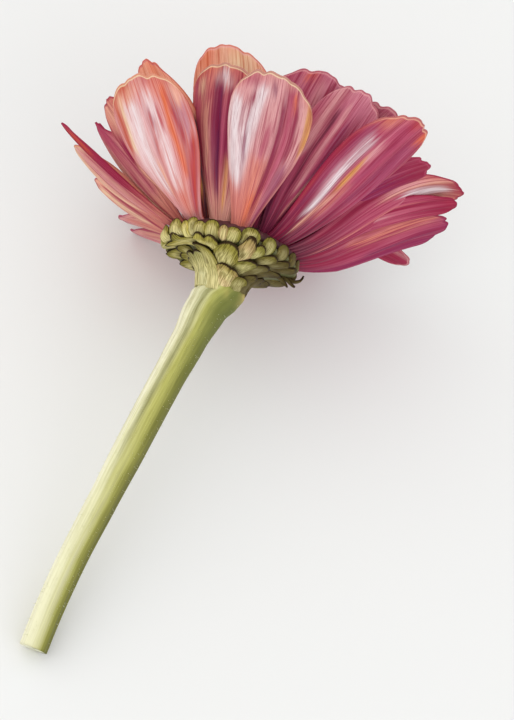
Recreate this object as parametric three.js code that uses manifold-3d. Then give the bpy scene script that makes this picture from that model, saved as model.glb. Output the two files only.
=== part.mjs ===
import * as THREE from 'three';
import { mergeVertices } from 'three/addons/utils/BufferGeometryUtils.js';
import Module from 'manifold-3d';

const wasm = await Module();
wasm.setup();

// A zinnia bloom picked with a short stem and laid on a flat surface.
// Millimetres, +Z up. The bloom opens towards +Y and the stem runs back along -Y.
// It rests on the tips of two ray florets and on the cut end of the stem.

// Place of the head: the middle of the rim of its bracts, and the way that it faces
const HEAD_CENTRE = new THREE.Vector3(2.456, 23.815, 27.5);
const HEAD_RISE = 13.2;
const HEAD_TURN = 13;
const HEAD_SIDES = 30;

// Receptacle and bracts, as radius and height along the axis of the head
const CUP_FOOT_RADIUS = 4.4;
const CUP_FOOT = -7.6;
const CUP_RIM_RADIUS = 13.7;
const CUP_TOP = 0.6;
const CUP_LEFT_RISE = 3.0;
const CUP_RIGHT_RISE = 1.3;
const BRACT_SUNK = 0.4;
const BRACT_CROWN = 0.35;
const BRACT_FOOT_LIFT = 0.45;
const BRACT_TIP_LIFT = 0.95;
const LEFT_FOOT_LIFT = 0.8;
const LOWEST_FOOT = 0.03;
const CURLED_TIP_THICKNESS = 1.2;

// Ray florets
const PETAL_THICKNESS = 0.7;
const PETAL_ROWS = 6;
const PETAL_PLEATS = 3;
const NARROW_PETAL = 8;
const NARROW_COLUMNS = 2;
const PLEAT_DEPTH = 0.4;
const ROOT_SUNK = 1.6;
const WIDEST_AT = 0.66;
const TIP_ROUNDING = 0.34;
const NOTCH_DEPTH = 0.02;

// Disc in the middle of the bloom
const SEAT_GAP = 0.3;
const DISC_RADIUS = 8.6;
const DISC_TOP = 15.6;
const BUD_COUNT = 34;
const BUD_HEIGHT = 1.9;
const BUD_RADIUS = 0.85;
const BUD_SUNK = 0.5;
const OPEN_FLORET_COUNT = 12;
const OPEN_RING_RADIUS = 8.5;
const OPEN_RING_HEIGHT = 9.9;
const OPEN_RING_THICKNESS = 0.8;
const STAR_REACH = 1.25;
const STAR_WAIST = 0.6;
const STAR_LIFT = 2.2;
const STAR_THICKNESS = 0.6;

// Stem
const STEM_SIDES = 16;
const STEM_RINGS = 24;
const STEM_RIB = 0.13;
const STEM_END_RADIUS = 2.75;
const STEM_FLAT = 0.25;

const GOLDEN_ANGLE = Math.PI * (3 - Math.sqrt(5));
const FLOOR_SIZE = 400;

const radians = THREE.MathUtils.degToRad;

// Draws between -1 and 1 that are the same on every run
function seededDraw(seed) {
  let state = seed;
  return () => {
    state = (state * 1664525 + 1013904223) % 4294967296;
    return (state / 4294967296) * 2 - 1;
  };
}

// A closed solid from corner points and triangles, with its faces turned outwards
function solidFromFaces(points, faces) {
  let volume = 0;
  for (const [a, b, c] of faces) {
    volume += points[a].dot(new THREE.Vector3().crossVectors(points[b], points[c]));
  }
  const outward = volume > 0 ? faces : faces.map(([a, b, c]) => [a, c, b]);
  const vertProperties = new Float32Array(points.flatMap((point) => point.toArray()));
  const triVerts = new Uint32Array(outward.flat());
  return new wasm.Manifold(new wasm.Mesh({ numProp: 3, vertProperties, triVerts }));
}

// The same from one of the standard geometries
function solidFromGeometry(geometry) {
  geometry.deleteAttribute('normal');
  geometry.deleteAttribute('uv');
  const merged = mergeVertices(geometry, 1e-4);
  const places = merged.getAttribute('position');
  const points = [];
  for (let i = 0; i < places.count; i += 1) {
    points.push(new THREE.Vector3().fromBufferAttribute(places, i));
  }
  const faces = [];
  for (let i = 0; i < merged.index.count; i += 3) {
    const [a, b, c] = [0, 1, 2].map((corner) => merged.index.getX(i + corner));
    if (a !== b && b !== c && c !== a) {
      faces.push([a, b, c]);
    }
  }
  return solidFromFaces(points, faces);
}

// A solid turned about the axis of the head, from points of radius and height
function turned(profile, sides) {
  const outline = profile.map(([radius, height]) => new THREE.Vector2(radius, height));
  const geometry = new THREE.LatheGeometry(outline, sides);
  geometry.rotateX(Math.PI / 2);
  return solidFromGeometry(geometry);
}

// A blade with a rim, from rows of points on its two faces
function bladeSolid(face, back) {
  const across = face[0].length;
  const along = face.length;
  const points = [...face.flat(), ...back.flat()];
  const corner = (side, i, j) => (side * along + i) * across + j;
  const faces = [];
  for (let i = 0; i + 1 < along; i += 1) {
    for (let j = 0; j + 1 < across; j += 1) {
      const [a, b, c, d] = [[i, j], [i + 1, j], [i + 1, j + 1], [i, j + 1]];
      faces.push([corner(0, ...a), corner(0, ...b), corner(0, ...c)]);
      faces.push([corner(0, ...a), corner(0, ...c), corner(0, ...d)]);
      faces.push([corner(1, ...a), corner(1, ...c), corner(1, ...b)]);
      faces.push([corner(1, ...a), corner(1, ...d), corner(1, ...c)]);
    }
  }
  const rim = [];
  for (let j = 0; j + 1 < across; j += 1) {
    rim.push([[0, j], [0, j + 1]], [[along - 1, j + 1], [along - 1, j]]);
  }
  for (let i = 0; i + 1 < along; i += 1) {
    rim.push([[i + 1, 0], [i, 0]], [[i, across - 1], [i + 1, across - 1]]);
  }
  for (const [from, to] of rim) {
    faces.push([corner(0, ...from), corner(0, ...to), corner(1, ...to)]);
    faces.push([corner(0, ...from), corner(1, ...to), corner(1, ...from)]);
  }
  return solidFromFaces(points, faces);
}

// Solids joined in one body, with any hollow that they shut in between them filled
function joined(solids) {
  const bodies = solids.reduce((whole, solid) => whole.add(solid)).decompose();
  return bodies.reduce((body, other) => (other.volume() > body.volume() ? other : body));
}

function namedMesh(name, solid, material) {
  const { vertProperties, triVerts, numProp } = solid.getMesh();
  const geometry = new THREE.BufferGeometry();
  const places = new THREE.BufferAttribute(new Float32Array(vertProperties), numProp);
  geometry.setAttribute('position', places);
  geometry.setIndex(new THREE.BufferAttribute(new Uint32Array(triVerts), 1));
  geometry.computeVertexNormals();
  const mesh = new THREE.Mesh(geometry, material);
  mesh.name = name;
  return mesh;
}

// Head frame: X is its upper side, Y its right seen from the stem, and Z its axis.
// A clock angle starts at the upper side and runs to the right.
const flower = new THREE.Group();
const head = new THREE.Group();
flower.add(head);
head.position.copy(HEAD_CENTRE);
const facing = new THREE.Matrix4().makeBasis(
  new THREE.Vector3(0, 0, 1),
  new THREE.Vector3(1, 0, 0),
  new THREE.Vector3(0, 1, 0),
);
facing.premultiply(new THREE.Matrix4().makeRotationX(radians(HEAD_RISE)));
facing.premultiply(new THREE.Matrix4().makeRotationZ(radians(HEAD_TURN)));
head.quaternion.setFromRotationMatrix(facing);
flower.updateMatrixWorld(true);

const AXIS = new THREE.Vector3(0, 0, 1);

function outwardAt(clock) {
  return new THREE.Vector3(Math.cos(clock), Math.sin(clock), 0);
}

function tangentAt(clock) {
  return new THREE.Vector3(-Math.sin(clock), Math.cos(clock), 0);
}

// What lies below the surface that the flower rests on, in the frame of a group
function floorSolid(group) {
  const slab = new THREE.BoxGeometry(FLOOR_SIZE, FLOOR_SIZE, FLOOR_SIZE);
  slab.translate(0, 0, -FLOOR_SIZE / 2);
  slab.applyMatrix4(group.matrixWorld.clone().invert());
  return solidFromGeometry(slab);
}

// Ray florets in three whorls. Each stands at a clock angle and leans out from the axis by
// its opening at the root and at the tip, in degrees. Roll turns its face to one side, dip
// closes it at half length, sway bends it sideways, point narrows its tip and foot is the
// width of its root as a share of its widest.
const WHORL_ROOTS = {
  outer: { radius: 12.4, height: 2.6 },
  middle: { radius: 11.0, height: 3.4 },
  inner: { radius: 10.0, height: 4.2 },
};

function rayFloret(whorl, clock, opening, length, width, shape = {}) {
  const plain = { roll: 0, dip: 0, sway: 0, point: 0, tipCup: 0.1, foot: 0.18 };
  return { whorl, clock, opening, length, width, ...plain, ...shape };
}

const RAY_FLORETS = [
  rayFloret('outer', -3, [45, 69], 38.5, 16.3, { roll: -4, dip: -2, sway: -2, foot: 0.26 }),
  rayFloret('outer', 43, [61, 65], 38.9, 15.9, { dip: 13, sway: -5.8, foot: 0.38 }),
  rayFloret('outer', 113.2, [81, 61], 37.2, 14.3, { roll: -28, dip: 20, sway: -7.7, foot: 0.45 }),
  rayFloret('outer', 146, [57, 60], 30, 15, { roll: -8 }),
  rayFloret('outer', 175, [45, 53], 28, 15, { roll: -3 }),
  rayFloret('outer', 203, [73, 71], 23.1, 7.6, { dip: -3, sway: 5, point: 0.3 }),
  rayFloret('outer', 220, [63, 78], 22.8, 5.6, { roll: 7, dip: -2, point: 0.3 }),
  rayFloret('outer', 243, [67, 56], 23.6, 6.2, { roll: 29, dip: -3, sway: -1, point: 0.4 }),
  rayFloret('outer', 271, [77, 56], 25.8, 5.4, { roll: 34, sway: 1, point: 0.5, tipCup: 0.5 }),
  rayFloret('outer', 280.5, [74, 59], 30.6, 1.7, { roll: 40, sway: -0.4, point: 0.2, tipCup: 0.5 }),
  rayFloret('outer', 306.5, [62, 63], 33.7, 17.2, { roll: 16, dip: 6, sway: 6.3, foot: 0.26 }),
  rayFloret('middle', 25, [45, 47], 35.7, 14.8, { roll: -41, dip: 2, sway: -0.8 }),
  rayFloret('outer', 79, [64, 78], 39.8, 11.8, { roll: -15, dip: 32, sway: 11.4, foot: 0.55 }),
  rayFloret('middle', 100, [46, 58], 31, 13, { roll: -12, dip: 4, foot: 0.3 }),
  rayFloret('middle', 120, [38, 97], 36, 7.2, { roll: -16, dip: -3, sway: -2 }),
  rayFloret('middle', 142, [42, 58], 31, 14, { roll: -10 }),
  rayFloret('middle', 163, [40, 44], 28, 14, { roll: -14 }),
  rayFloret('middle', 190, [30, 42], 28, 14, { roll: -3 }),
  rayFloret('middle', 216, [52, 66], 26, 9, { roll: 16, point: 0.3 }),
  rayFloret('middle', 246, [45, 56], 27, 11, { roll: 20, point: 0.3 }),
  rayFloret('middle', 273, [66, 48], 26.7, 10.9, { roll: 8, dip: -1, sway: 3, point: 0.8, tipCup: 0.4 }),
  rayFloret('middle', 294, [51, 59], 29.3, 12.6, { roll: 29, sway: -1, point: 0.4, tipCup: 0.3 }),
  rayFloret('middle', 334, [35, 58], 33.6, 19, { roll: -11, sway: 4, foot: 0.28 }),
  rayFloret('inner', 14, [23, 35], 33.6, 19, { roll: -12, sway: 1 }),
  rayFloret('inner', 35, [48, 53], 35.8, 14.5, { roll: -30, dip: 4 }),
  rayFloret('inner', 65, [43, 65], 33.4, 14, { roll: -4, dip: 4, foot: 0.5 }),
  rayFloret('middle', 89.5, [53, 70], 38.3, 7, { roll: -30, dip: 8, sway: 2 }),
  rayFloret('inner', 108, [29, 46], 30, 13, { roll: -9, dip: 2 }),
  rayFloret('inner', 140, [25, 35], 29, 13, { roll: -12 }),
  rayFloret('inner', 180, [25, 33], 26, 13, { roll: -15 }),
  rayFloret('inner', 221, [21, 34], 26, 13, { roll: -5 }),
  rayFloret('inner', 262, [30, 40], 27, 13, { roll: 20 }),
  rayFloret('inner', 308, [43, 46], 33.6, 11.5, { roll: 19, dip: -3, sway: -1, point: 0.4 }),
  rayFloret('inner', 337, [27, 37], 34.4, 17.7, { roll: -2, dip: 2, sway: -2.4 }),
];

// Half the width of a floret as a share of its widest, from root to tip
function widthShare(x, point, foot) {
  const rise = Math.min(Math.max(x, 0) / WIDEST_AT, 1);
  const swell = foot + (1 - foot) * Math.sin((rise * Math.PI) / 2) ** 1.15;
  const fall = 0.08 * Math.max(0, (x - WIDEST_AT) / (1 - WIDEST_AT)) ** 2;
  const narrowed = 1 - point * Math.max(0, (x - 0.55) / 0.45) ** 1.6;
  return (swell - fall) * narrowed;
}

// How far each line along the floret reaches: a round tip with a notch on each side of it
function tipReach(q) {
  const notch = NOTCH_DEPTH * Math.exp(-(((Math.abs(q) - 1 / 3) / 0.11) ** 2));
  return 1 - TIP_ROUNDING * (1 - Math.sqrt(1 - 0.98 * Math.abs(q) ** 2.4)) - notch;
}

// The midrib bends as its opening goes from root to tip; radial and axial distance from the root
function midrib(floret, x) {
  const [root, tip] = floret.opening.map(radians);
  const belly = radians(floret.dip);
  const opening = (u) => root + (tip - root) * u - belly * 4 * u * (1 - u);
  if (x <= 0) {
    return { out: Math.sin(root) * x, along: Math.cos(root) * x, angle: root };
  }
  const steps = 12;
  let out = 0;
  let along = 0;
  for (let k = 0; k < steps; k += 1) {
    const angle = opening((x * (k + 0.5)) / steps);
    out += (Math.sin(angle) * x) / steps;
    along += (Math.cos(angle) * x) / steps;
  }
  return { out, along, angle: opening(x) };
}

function petalPoint(floret, x, q, lift) {
  const clock = radians(floret.clock);
  const outward = outwardAt(clock);
  const tangent = tangentAt(clock);
  const root = WHORL_ROOTS[floret.whorl];
  const rib = midrib(floret, x);
  const point = outward.clone().multiplyScalar(root.radius + rib.out * floret.length);
  point.addScaledVector(AXIS, root.height + rib.along * floret.length);
  point.addScaledVector(tangent, floret.sway * x * x);
  const face = AXIS.clone().multiplyScalar(Math.sin(rib.angle));
  face.addScaledVector(outward, -Math.cos(rib.angle));
  const roll = radians(floret.roll) * THREE.MathUtils.clamp(x * 2.5, 0, 1);
  const across = tangent.clone().multiplyScalar(Math.cos(roll)).addScaledVector(face, Math.sin(roll));
  const normal = face.multiplyScalar(Math.cos(roll)).addScaledVector(tangent, -Math.sin(roll));
  const half = (floret.width / 2) * widthShare(x, floret.point, floret.foot);
  const trough = THREE.MathUtils.lerp(0.5, floret.tipCup, Math.max(x, 0)) * half * q * q;
  const fade = Math.sqrt(Math.sin(Math.PI * THREE.MathUtils.clamp(x, 0, 1)));
  const fold = PLEAT_DEPTH * Math.min(1, floret.width / 9);
  const pleat = fold * Math.cos(PETAL_PLEATS * Math.PI * q) * fade;
  return point.addScaledVector(across, half * q).addScaledVector(normal, trough - pleat + lift);
}

function petalFace(floret, lift) {
  const rows = [];
  const columns = floret.width < NARROW_PETAL ? NARROW_COLUMNS : 2 * PETAL_PLEATS;
  for (let i = -1; i <= PETAL_ROWS; i += 1) {
    const row = [];
    for (let j = 0; j <= columns; j += 1) {
      const q = (2 * j) / columns - 1;
      const x = i < 0 ? -ROOT_SUNK / floret.length : (i / PETAL_ROWS) * tipReach(q);
      row.push(petalPoint(floret, x, q, lift));
    }
    rows.push(row);
  }
  return rows;
}

function petalSolid(floret) {
  const half = PETAL_THICKNESS / 2;
  return bladeSolid(petalFace(floret, half), petalFace(floret, -half));
}

// All the ray florets, joined by the collar that their tubes grow from
function rayFloretsSolid() {
  const foot = CUP_TOP + SEAT_GAP;
  const { outer, middle, inner } = WHORL_ROOTS;
  const collar = turned([
    [DISC_RADIUS + 0.6, foot],
    [outer.radius + 0.5, foot],
    [outer.radius + 0.5, outer.height],
    [middle.radius + 0.2, middle.height],
    [inner.radius, inner.height],
    [DISC_RADIUS + 0.6, inner.height],
    [DISC_RADIUS + 0.6, foot],
  ], HEAD_SIDES);
  return joined([collar, ...RAY_FLORETS.map(petalSolid)]).subtract(floorSolid(head));
}

// Outside of the cup from its foot on the stem to its rim
const CUP_PROFILE = [
  [CUP_FOOT_RADIUS, CUP_FOOT],
  [CUP_FOOT_RADIUS + 0.2, -6.2],
  [5.6, -4.7],
  [8.2, -3.3],
  [11.0, -2.3],
  [13.0, -1.0],
  [CUP_RIM_RADIUS, -0.1],
  [CUP_RIM_RADIUS - 0.1, CUP_TOP],
];

// The bracts overlap on the cup like tiles. Each has a clock angle in degrees and a share of
// the cup's arc for its tip and for its foot, a width, and how far its tip curls away.
function bract(tip, foot, width, stand = 0) {
  return { tip, foot, width, stand };
}

const BRACTS = [
  bract([-2, 0.4], [-12, -0.08], 5.1),
  bract([-62, 0.45], [-56, -0.08], 5.0),
  bract([-88, 0.46], [-84, -0.08], 4.6),
  bract([32, 0.24], [22, -0.1], 4.0),
  bract([58, 0.34], [44, -0.08], 4.4),
  bract([86, 0.4], [74, -0.08], 4.6),
  bract([-48, 0.68], [-34, -0.1], 4.4),
  bract([-6, 0.88], [-20, 0.1], 5.6),
  bract([20, 0.66], [14, 0.22], 4.6),
  bract([45, 0.62], [36, 0.2], 4.4),
  bract([76, 0.64], [50, 0.2], 3.6, 0.2),
  bract([-24, 0.92], [-32, 0.45], 3.8),
  bract([-36, 0.94], [-37, 0.5], 3.2),
  bract([-66, 0.92], [-42, 0.5], 3.2),
  bract([-88, 0.8], [-62, 0.45], 3.4),
  bract([8, 0.98], [4, 0.4], 4.2),
  bract([18, 0.95], [15, 0.6], 3.0),
  bract([34, 0.9], [29, 0.5], 3.8),
  bract([52, 0.92], [44, 0.5], 3.8),
  bract([68, 0.93], [60, 0.5], 3.6),
  bract([-88, 1.1], [-76, 0.75], 3.6),
  bract([-106, 1.0], [-94, 0.7], 3.2),
  bract([-68, 1.13], [-57, 0.8], 3.6),
  bract([-52, 1.09], [-46, 0.75], 2.0),
  bract([-45, 1.14], [-42, 0.85], 2.8),
  bract([-37, 1.08], [-36, 0.8], 3.0),
  bract([-27, 1.12], [-24, 0.75], 3.4),
  bract([-16, 1.07], [-15, 0.8], 2.2),
  bract([-6, 1.06], [-10, 0.8], 3.2),
  bract([8, 1.13], [4, 0.8], 4.0),
  bract([25, 1.1], [22, 0.75], 3.2),
  bract([42, 1.11], [38, 0.8], 3.2),
  bract([58, 1.1], [54, 0.8], 3.2),
  bract([75, 1.1], [70, 0.8], 3.2),
  bract([87, 0.74], [78, 0.5], 1.5, 1.3),
  bract([90, 0.86], [84, 0.6], 1.4, 1.3),
  bract([93, 0.97], [89, 0.7], 1.4, 1.4),
  bract([-104, 0.66], [-99, 0.15], 5.0),
  bract([-114, 0.44], [-110, -0.08], 4.8),
  bract([98, 1.08], [92, 0.8], 3.2),
];

// On the side that faces the surface they stand in even rows
const EVEN_ROWS = [
  { tip: 0.42, apart: 36, foot: -0.08, width: 4.8 },
  { tip: 0.66, apart: 29, foot: 0.1, width: 5.0 },
  { tip: 0.9, apart: 25, foot: 0.4, width: 4.8 },
  { tip: 1.1, apart: 23, foot: 0.7, width: 4.4 },
];
EVEN_ROWS.forEach(({ tip, apart, foot, width }) => {
  for (let step = 0; step <= Math.floor(140 / apart); step += 1) {
    const clock = 112 + apart * (step + ((tip % 0.4) / 0.4) * 0.5);
    BRACTS.push(bract([clock, tip], [clock - 4, foot], width));
  }
});

const cupCurve = new THREE.SplineCurve(
  CUP_PROFILE.map(([radius, height]) => new THREE.Vector2(radius, height)),
);
const CUP_ARC = cupCurve.getLength();

// Point of the cup's outside at a share of its arc, straight on past its rim
function cupPoint(share) {
  const inside = THREE.MathUtils.clamp(share, 0, 1);
  const at = cupCurve.getPointAt(inside);
  const tangent = cupCurve.getTangentAt(inside);
  return at.addScaledVector(tangent, (share - inside) * CUP_ARC);
}

// A bract widens to a round tip. Its back is sunk in the cup, free only under a curled tip.
const BRACT_OUTLINE = [
  { x: 0, wide: 0.72 },
  { x: 0.62, wide: 1 },
  { x: 1, wide: 0.5 },
];

function bractSolid({ tip, foot, width, stand }) {
  const { lerp, clamp, smoothstep, euclideanModulo } = THREE.MathUtils;
  const start = Math.max(LOWEST_FOOT, foot[1]);
  const up = (tip[1] - start) * CUP_ARC;
  const dry = smoothstep(tip[0], 10, 60) * (1 - smoothstep(euclideanModulo(tip[0], 360), 130, 190));
  const pressed = 1 - smoothstep(Math.cos(radians(tip[0])), -0.3, 0.1);
  const tipLift = (BRACT_TIP_LIFT + 0.35 * (1.15 - tip[1])) * (1 - 0.55 * Math.max(dry, pressed));
  const faceAt = (lift) => BRACT_OUTLINE.map(({ x, wide }) => {
    const share = lerp(start, tip[1], x);
    const around = radians(tip[0] - foot[0]) * cupPoint(share).x;
    return [-1, 0, 1].map((q) => {
      const aside = (q * wide * width) / 2 / Math.hypot(up, around);
      const place = Math.max(LOWEST_FOOT, share - (aside * around) / CUP_ARC);
      const at = cupPoint(place);
      const slope = cupCurve.getTangentAt(clamp(place, 0, 1));
      const off = lift(x, q);
      const turn = radians(lerp(foot[0], tip[0], x)) + (aside * up) / at.x;
      const point = outwardAt(turn).multiplyScalar(at.x + slope.y * off);
      return point.setZ(at.y - slope.x * off);
    });
  });
  const leftFoot = foot[1] < 0 ? Math.max(0, -Math.sin(radians(tip[0]))) : 0;
  const footLift = BRACT_FOOT_LIFT + LEFT_FOOT_LIFT * leftFoot;
  const raised = (x) => lerp(footLift, Math.max(tipLift, footLift), x) + stand * x ** 3;
  const face = faceAt((x, q) => raised(x) - BRACT_CROWN * q * q);
  const tipBack = tipLift + stand - CURLED_TIP_THICKNESS;
  const back = faceAt((x) => (x < 1 ? -BRACT_SUNK : Math.max(-BRACT_SUNK, tipBack)));
  return bladeSolid(face, back);
}

// The cup is shallower on its sides: lifts a place there that is between its foot and its rim
function liftSides(place) {
  const radius = Math.hypot(place[0], place[1]);
  const right = place[1] / Math.max(radius, 1);
  const rise = right < 0 ? -CUP_LEFT_RISE * right : CUP_RIGHT_RISE * right;
  const { clamp } = THREE.MathUtils;
  const share = clamp((radius - CUP_FOOT_RADIUS) / (CUP_RIM_RADIUS - CUP_FOOT_RADIUS), 0, 1);
  place[2] += rise * Math.sin(Math.PI * share) * clamp(-place[2], 0, 1);
}

// The receptacle and all its bracts, which overlap like tiles
function involucreSolid() {
  const samples = cupCurve.getSpacedPoints(5).map((at) => [at.x, at.y]);
  const cup = turned([[0, CUP_FOOT], ...samples, [0, CUP_TOP]], HEAD_SIDES);
  return joined([cup, ...BRACTS.map(bractSolid)]).warp(liftSides);
}

// Closed florets and scales cover the dark disc, turn by turn of the golden angle
const DISC_SHOULDER = OPEN_RING_HEIGHT - 0.9;
const DISC_OUTLINE = [
  [DISC_RADIUS - 0.5, CUP_TOP + SEAT_GAP],
  [DISC_RADIUS - 0.5, 3.4],
  [DISC_RADIUS - 0.6, 6.6],
  [OPEN_RING_RADIUS - 1.1, DISC_SHOULDER],
  [OPEN_RING_RADIUS - 1.3, OPEN_RING_HEIGHT + 0.8],
  [6.0, 12.3],
  [4.5, 14.0],
  [2.2, 15.1],
  [0, DISC_TOP - 0.3],
];

function budSolid(at, normal, radius, height) {
  const cone = new THREE.ConeGeometry(radius, height, 4);
  cone.translate(0, height / 2 - BUD_SUNK, 0);
  const turn = new THREE.Quaternion().setFromUnitVectors(new THREE.Vector3(0, 1, 0), normal);
  cone.applyQuaternion(turn);
  cone.translate(at.x, at.y, at.z);
  return solidFromGeometry(cone);
}

function discSolid() {
  const solids = [turned([[0, CUP_TOP + SEAT_GAP], ...DISC_OUTLINE], HEAD_SIDES)];
  const dome = new THREE.SplineCurve(
    DISC_OUTLINE.slice(4).map(([radius, height]) => new THREE.Vector2(radius, height)),
  );
  for (let k = 0; k < BUD_COUNT; k += 1) {
    const share = 0.02 + 0.86 * Math.sqrt((BUD_COUNT - k - 0.5) / BUD_COUNT);
    const at = dome.getPointAt(1 - share);
    const tangent = dome.getTangentAt(1 - share);
    const outward = outwardAt(k * GOLDEN_ANGLE);
    const normal = outward.clone().multiplyScalar(tangent.y).addScaledVector(AXIS, -tangent.x);
    normal.addScaledVector(AXIS, 0.9).normalize();
    const place = outward.multiplyScalar(at.x).addScaledVector(AXIS, at.y);
    solids.push(budSolid(place, normal, BUD_RADIUS, BUD_HEIGHT));
  }
  return joined(solids);
}

// Open disc florets: a ring of small five-pointed stars round the shoulder of the disc
function starSolid(clock, lift) {
  const outline = new THREE.Shape();
  for (let k = 0; k < 10; k += 1) {
    const reach = k % 2 === 0 ? STAR_REACH : STAR_WAIST;
    const turn = (k * Math.PI) / 5;
    const [x, y] = [reach * Math.cos(turn), reach * Math.sin(turn)];
    if (k === 0) {
      outline.moveTo(x, y);
    } else {
      outline.lineTo(x, y);
    }
  }
  const star = new THREE.ExtrudeGeometry(outline, { depth: STAR_THICKNESS, bevelEnabled: false });
  const tube = new THREE.CylinderGeometry(0.55, 0.4, STAR_LIFT + 0.2, 4);
  tube.rotateX(Math.PI / 2);
  tube.translate(0, 0, 0.3 - STAR_LIFT / 2);
  const place = new THREE.Matrix4().makeTranslation(OPEN_RING_RADIUS, 0, OPEN_RING_HEIGHT + lift);
  const floret = solidFromGeometry(star.applyMatrix4(place));
  const stalk = solidFromGeometry(tube.applyMatrix4(place));
  return floret.add(stalk).rotate([0, 0, THREE.MathUtils.radToDeg(clock)]);
}

function openFloretsSolid() {
  const inside = OPEN_RING_RADIUS - OPEN_RING_THICKNESS;
  const outside = OPEN_RING_RADIUS + OPEN_RING_THICKNESS / 2;
  const under = OPEN_RING_HEIGHT - OPEN_RING_THICKNESS / 2;
  const over = OPEN_RING_HEIGHT + OPEN_RING_THICKNESS / 2;
  const outline = [[inside, under], [outside, under], [outside, over], [inside, over], [inside, under]];
  const ring = turned(outline, HEAD_SIDES);
  const draw = seededDraw(5);
  const stars = [];
  for (let k = 0; k < OPEN_FLORET_COUNT; k += 1) {
    const clock = ((k + 0.15 * draw()) / OPEN_FLORET_COUNT) * 2 * Math.PI;
    stars.push(starSolid(clock, STAR_LIFT + 0.4 * draw()));
  }
  return joined([ring, ...stars]);
}

// Middle line of the stem from the foot of the head to the cut end, and its radius.
// It leaves along the axis of the head and comes down to the surface in a low arch.
const STEM_LINE = [
  [0, 0],
  [-1.1, -4.2],
  [-1.3, -12.5],
  [-1.6, -22],
  [-1.75, -34],
  [-1.8, -46],
  [-1.85, -58],
  [-1.35, -68],
  [-0.5, -76.6],
];
const STEM_RADII = [
  [0, 4.9],
  [0.02, 4.75],
  [0.055, 4.2],
  [0.15, 3.5],
  [0.26, 3.25],
  [0.45, 3.2],
  [0.6, 2.95],
  [0.75, 2.85],
  [1, STEM_END_RADIUS],
];
const STEM_START_SLOPE = 0.249;

function stemRadius(share) {
  const next = Math.max(1, STEM_RADII.findIndex(([at]) => at >= share));
  const [from, small] = STEM_RADII[next - 1];
  const [to, large] = STEM_RADII[next];
  return THREE.MathUtils.lerp(small, large, THREE.MathUtils.smoothstep(share, from, to));
}

function stemSolid() {
  const start = new THREE.Vector3(0, 0, CUP_FOOT - SEAT_GAP).applyMatrix4(head.matrixWorld);
  const reach = -STEM_LINE[STEM_LINE.length - 1][1];
  const drop = start.z - (STEM_END_RADIUS - STEM_FLAT);
  const arch = (drop - STEM_START_SLOPE * reach) / reach ** 2;
  const line = STEM_LINE.map(([x, y]) => {
    const fall = STEM_START_SLOPE * -y + arch * y * y;
    return new THREE.Vector3(start.x + x, start.y + y, start.z - fall);
  });
  const curve = new THREE.CatmullRomCurve3(line, false, 'centripetal');
  const headAxis = AXIS.clone().transformDirection(head.matrixWorld);
  const rings = [];
  for (let i = 0; i <= STEM_RINGS; i += 1) {
    const share = (i / STEM_RINGS) ** 1.35;
    const along = curve.getTangentAt(share).negate();
    along.lerp(headAxis, Math.max(0, 1 - share / 0.06)).normalize();
    const side = new THREE.Vector3(0, 0, 1).cross(along).normalize();
    const up = new THREE.Vector3().crossVectors(along, side);
    const middle = curve.getPointAt(share);
    const radius = stemRadius(share);
    const ring = [];
    for (let j = 0; j < STEM_SIDES; j += 1) {
      const turn = (j / STEM_SIDES) * 2 * Math.PI;
      const rib = radius + STEM_RIB * (j % 2 === 0 ? 1 : -1) * Math.min(1, share * 12);
      const point = middle.clone().addScaledVector(side, rib * Math.cos(turn));
      ring.push(point.addScaledVector(up, rib * Math.sin(turn)));
    }
    rings.push(ring);
  }
  const points = [...rings.flat(), curve.getPointAt(0), curve.getPointAt(1)];
  const first = points.length - 2;
  const last = points.length - 1;
  const faces = [];
  for (let j = 0; j < STEM_SIDES; j += 1) {
    const next = (j + 1) % STEM_SIDES;
    for (let i = 0; i < STEM_RINGS; i += 1) {
      const [a, b] = [i * STEM_SIDES + j, i * STEM_SIDES + next];
      const [c, d] = [a + STEM_SIDES, b + STEM_SIDES];
      faces.push([a, c, d], [a, d, b]);
    }
    const end = STEM_RINGS * STEM_SIDES;
    faces.push([first, j, next], [last, end + next, end + j]);
  }
  return solidFromFaces(points, faces).subtract(floorSolid(flower));
}

head.add(namedMesh('ray_florets', rayFloretsSolid(), new THREE.MeshStandardMaterial({
  color: 0xb8606f,
  roughness: 0.6,
  metalness: 0,
})));
head.add(namedMesh('involucre', involucreSolid(), new THREE.MeshStandardMaterial({
  color: 0x9a9d63,
  roughness: 0.65,
  metalness: 0,
})));
head.add(namedMesh('disc', discSolid(), new THREE.MeshStandardMaterial({
  color: 0x4a2f3c,
  roughness: 0.75,
  metalness: 0,
})));
head.add(namedMesh('open_disc_florets', openFloretsSolid(), new THREE.MeshStandardMaterial({
  color: 0xdaa634,
  roughness: 0.6,
  metalness: 0,
})));
flower.add(namedMesh('stem', stemSolid(), new THREE.MeshStandardMaterial({
  color: 0xb3bb7c,
  roughness: 0.6,
  metalness: 0,
})));

export default flower;
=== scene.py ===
import math

import bmesh
import bpy
from mathutils import Matrix, Vector, noise


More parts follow.
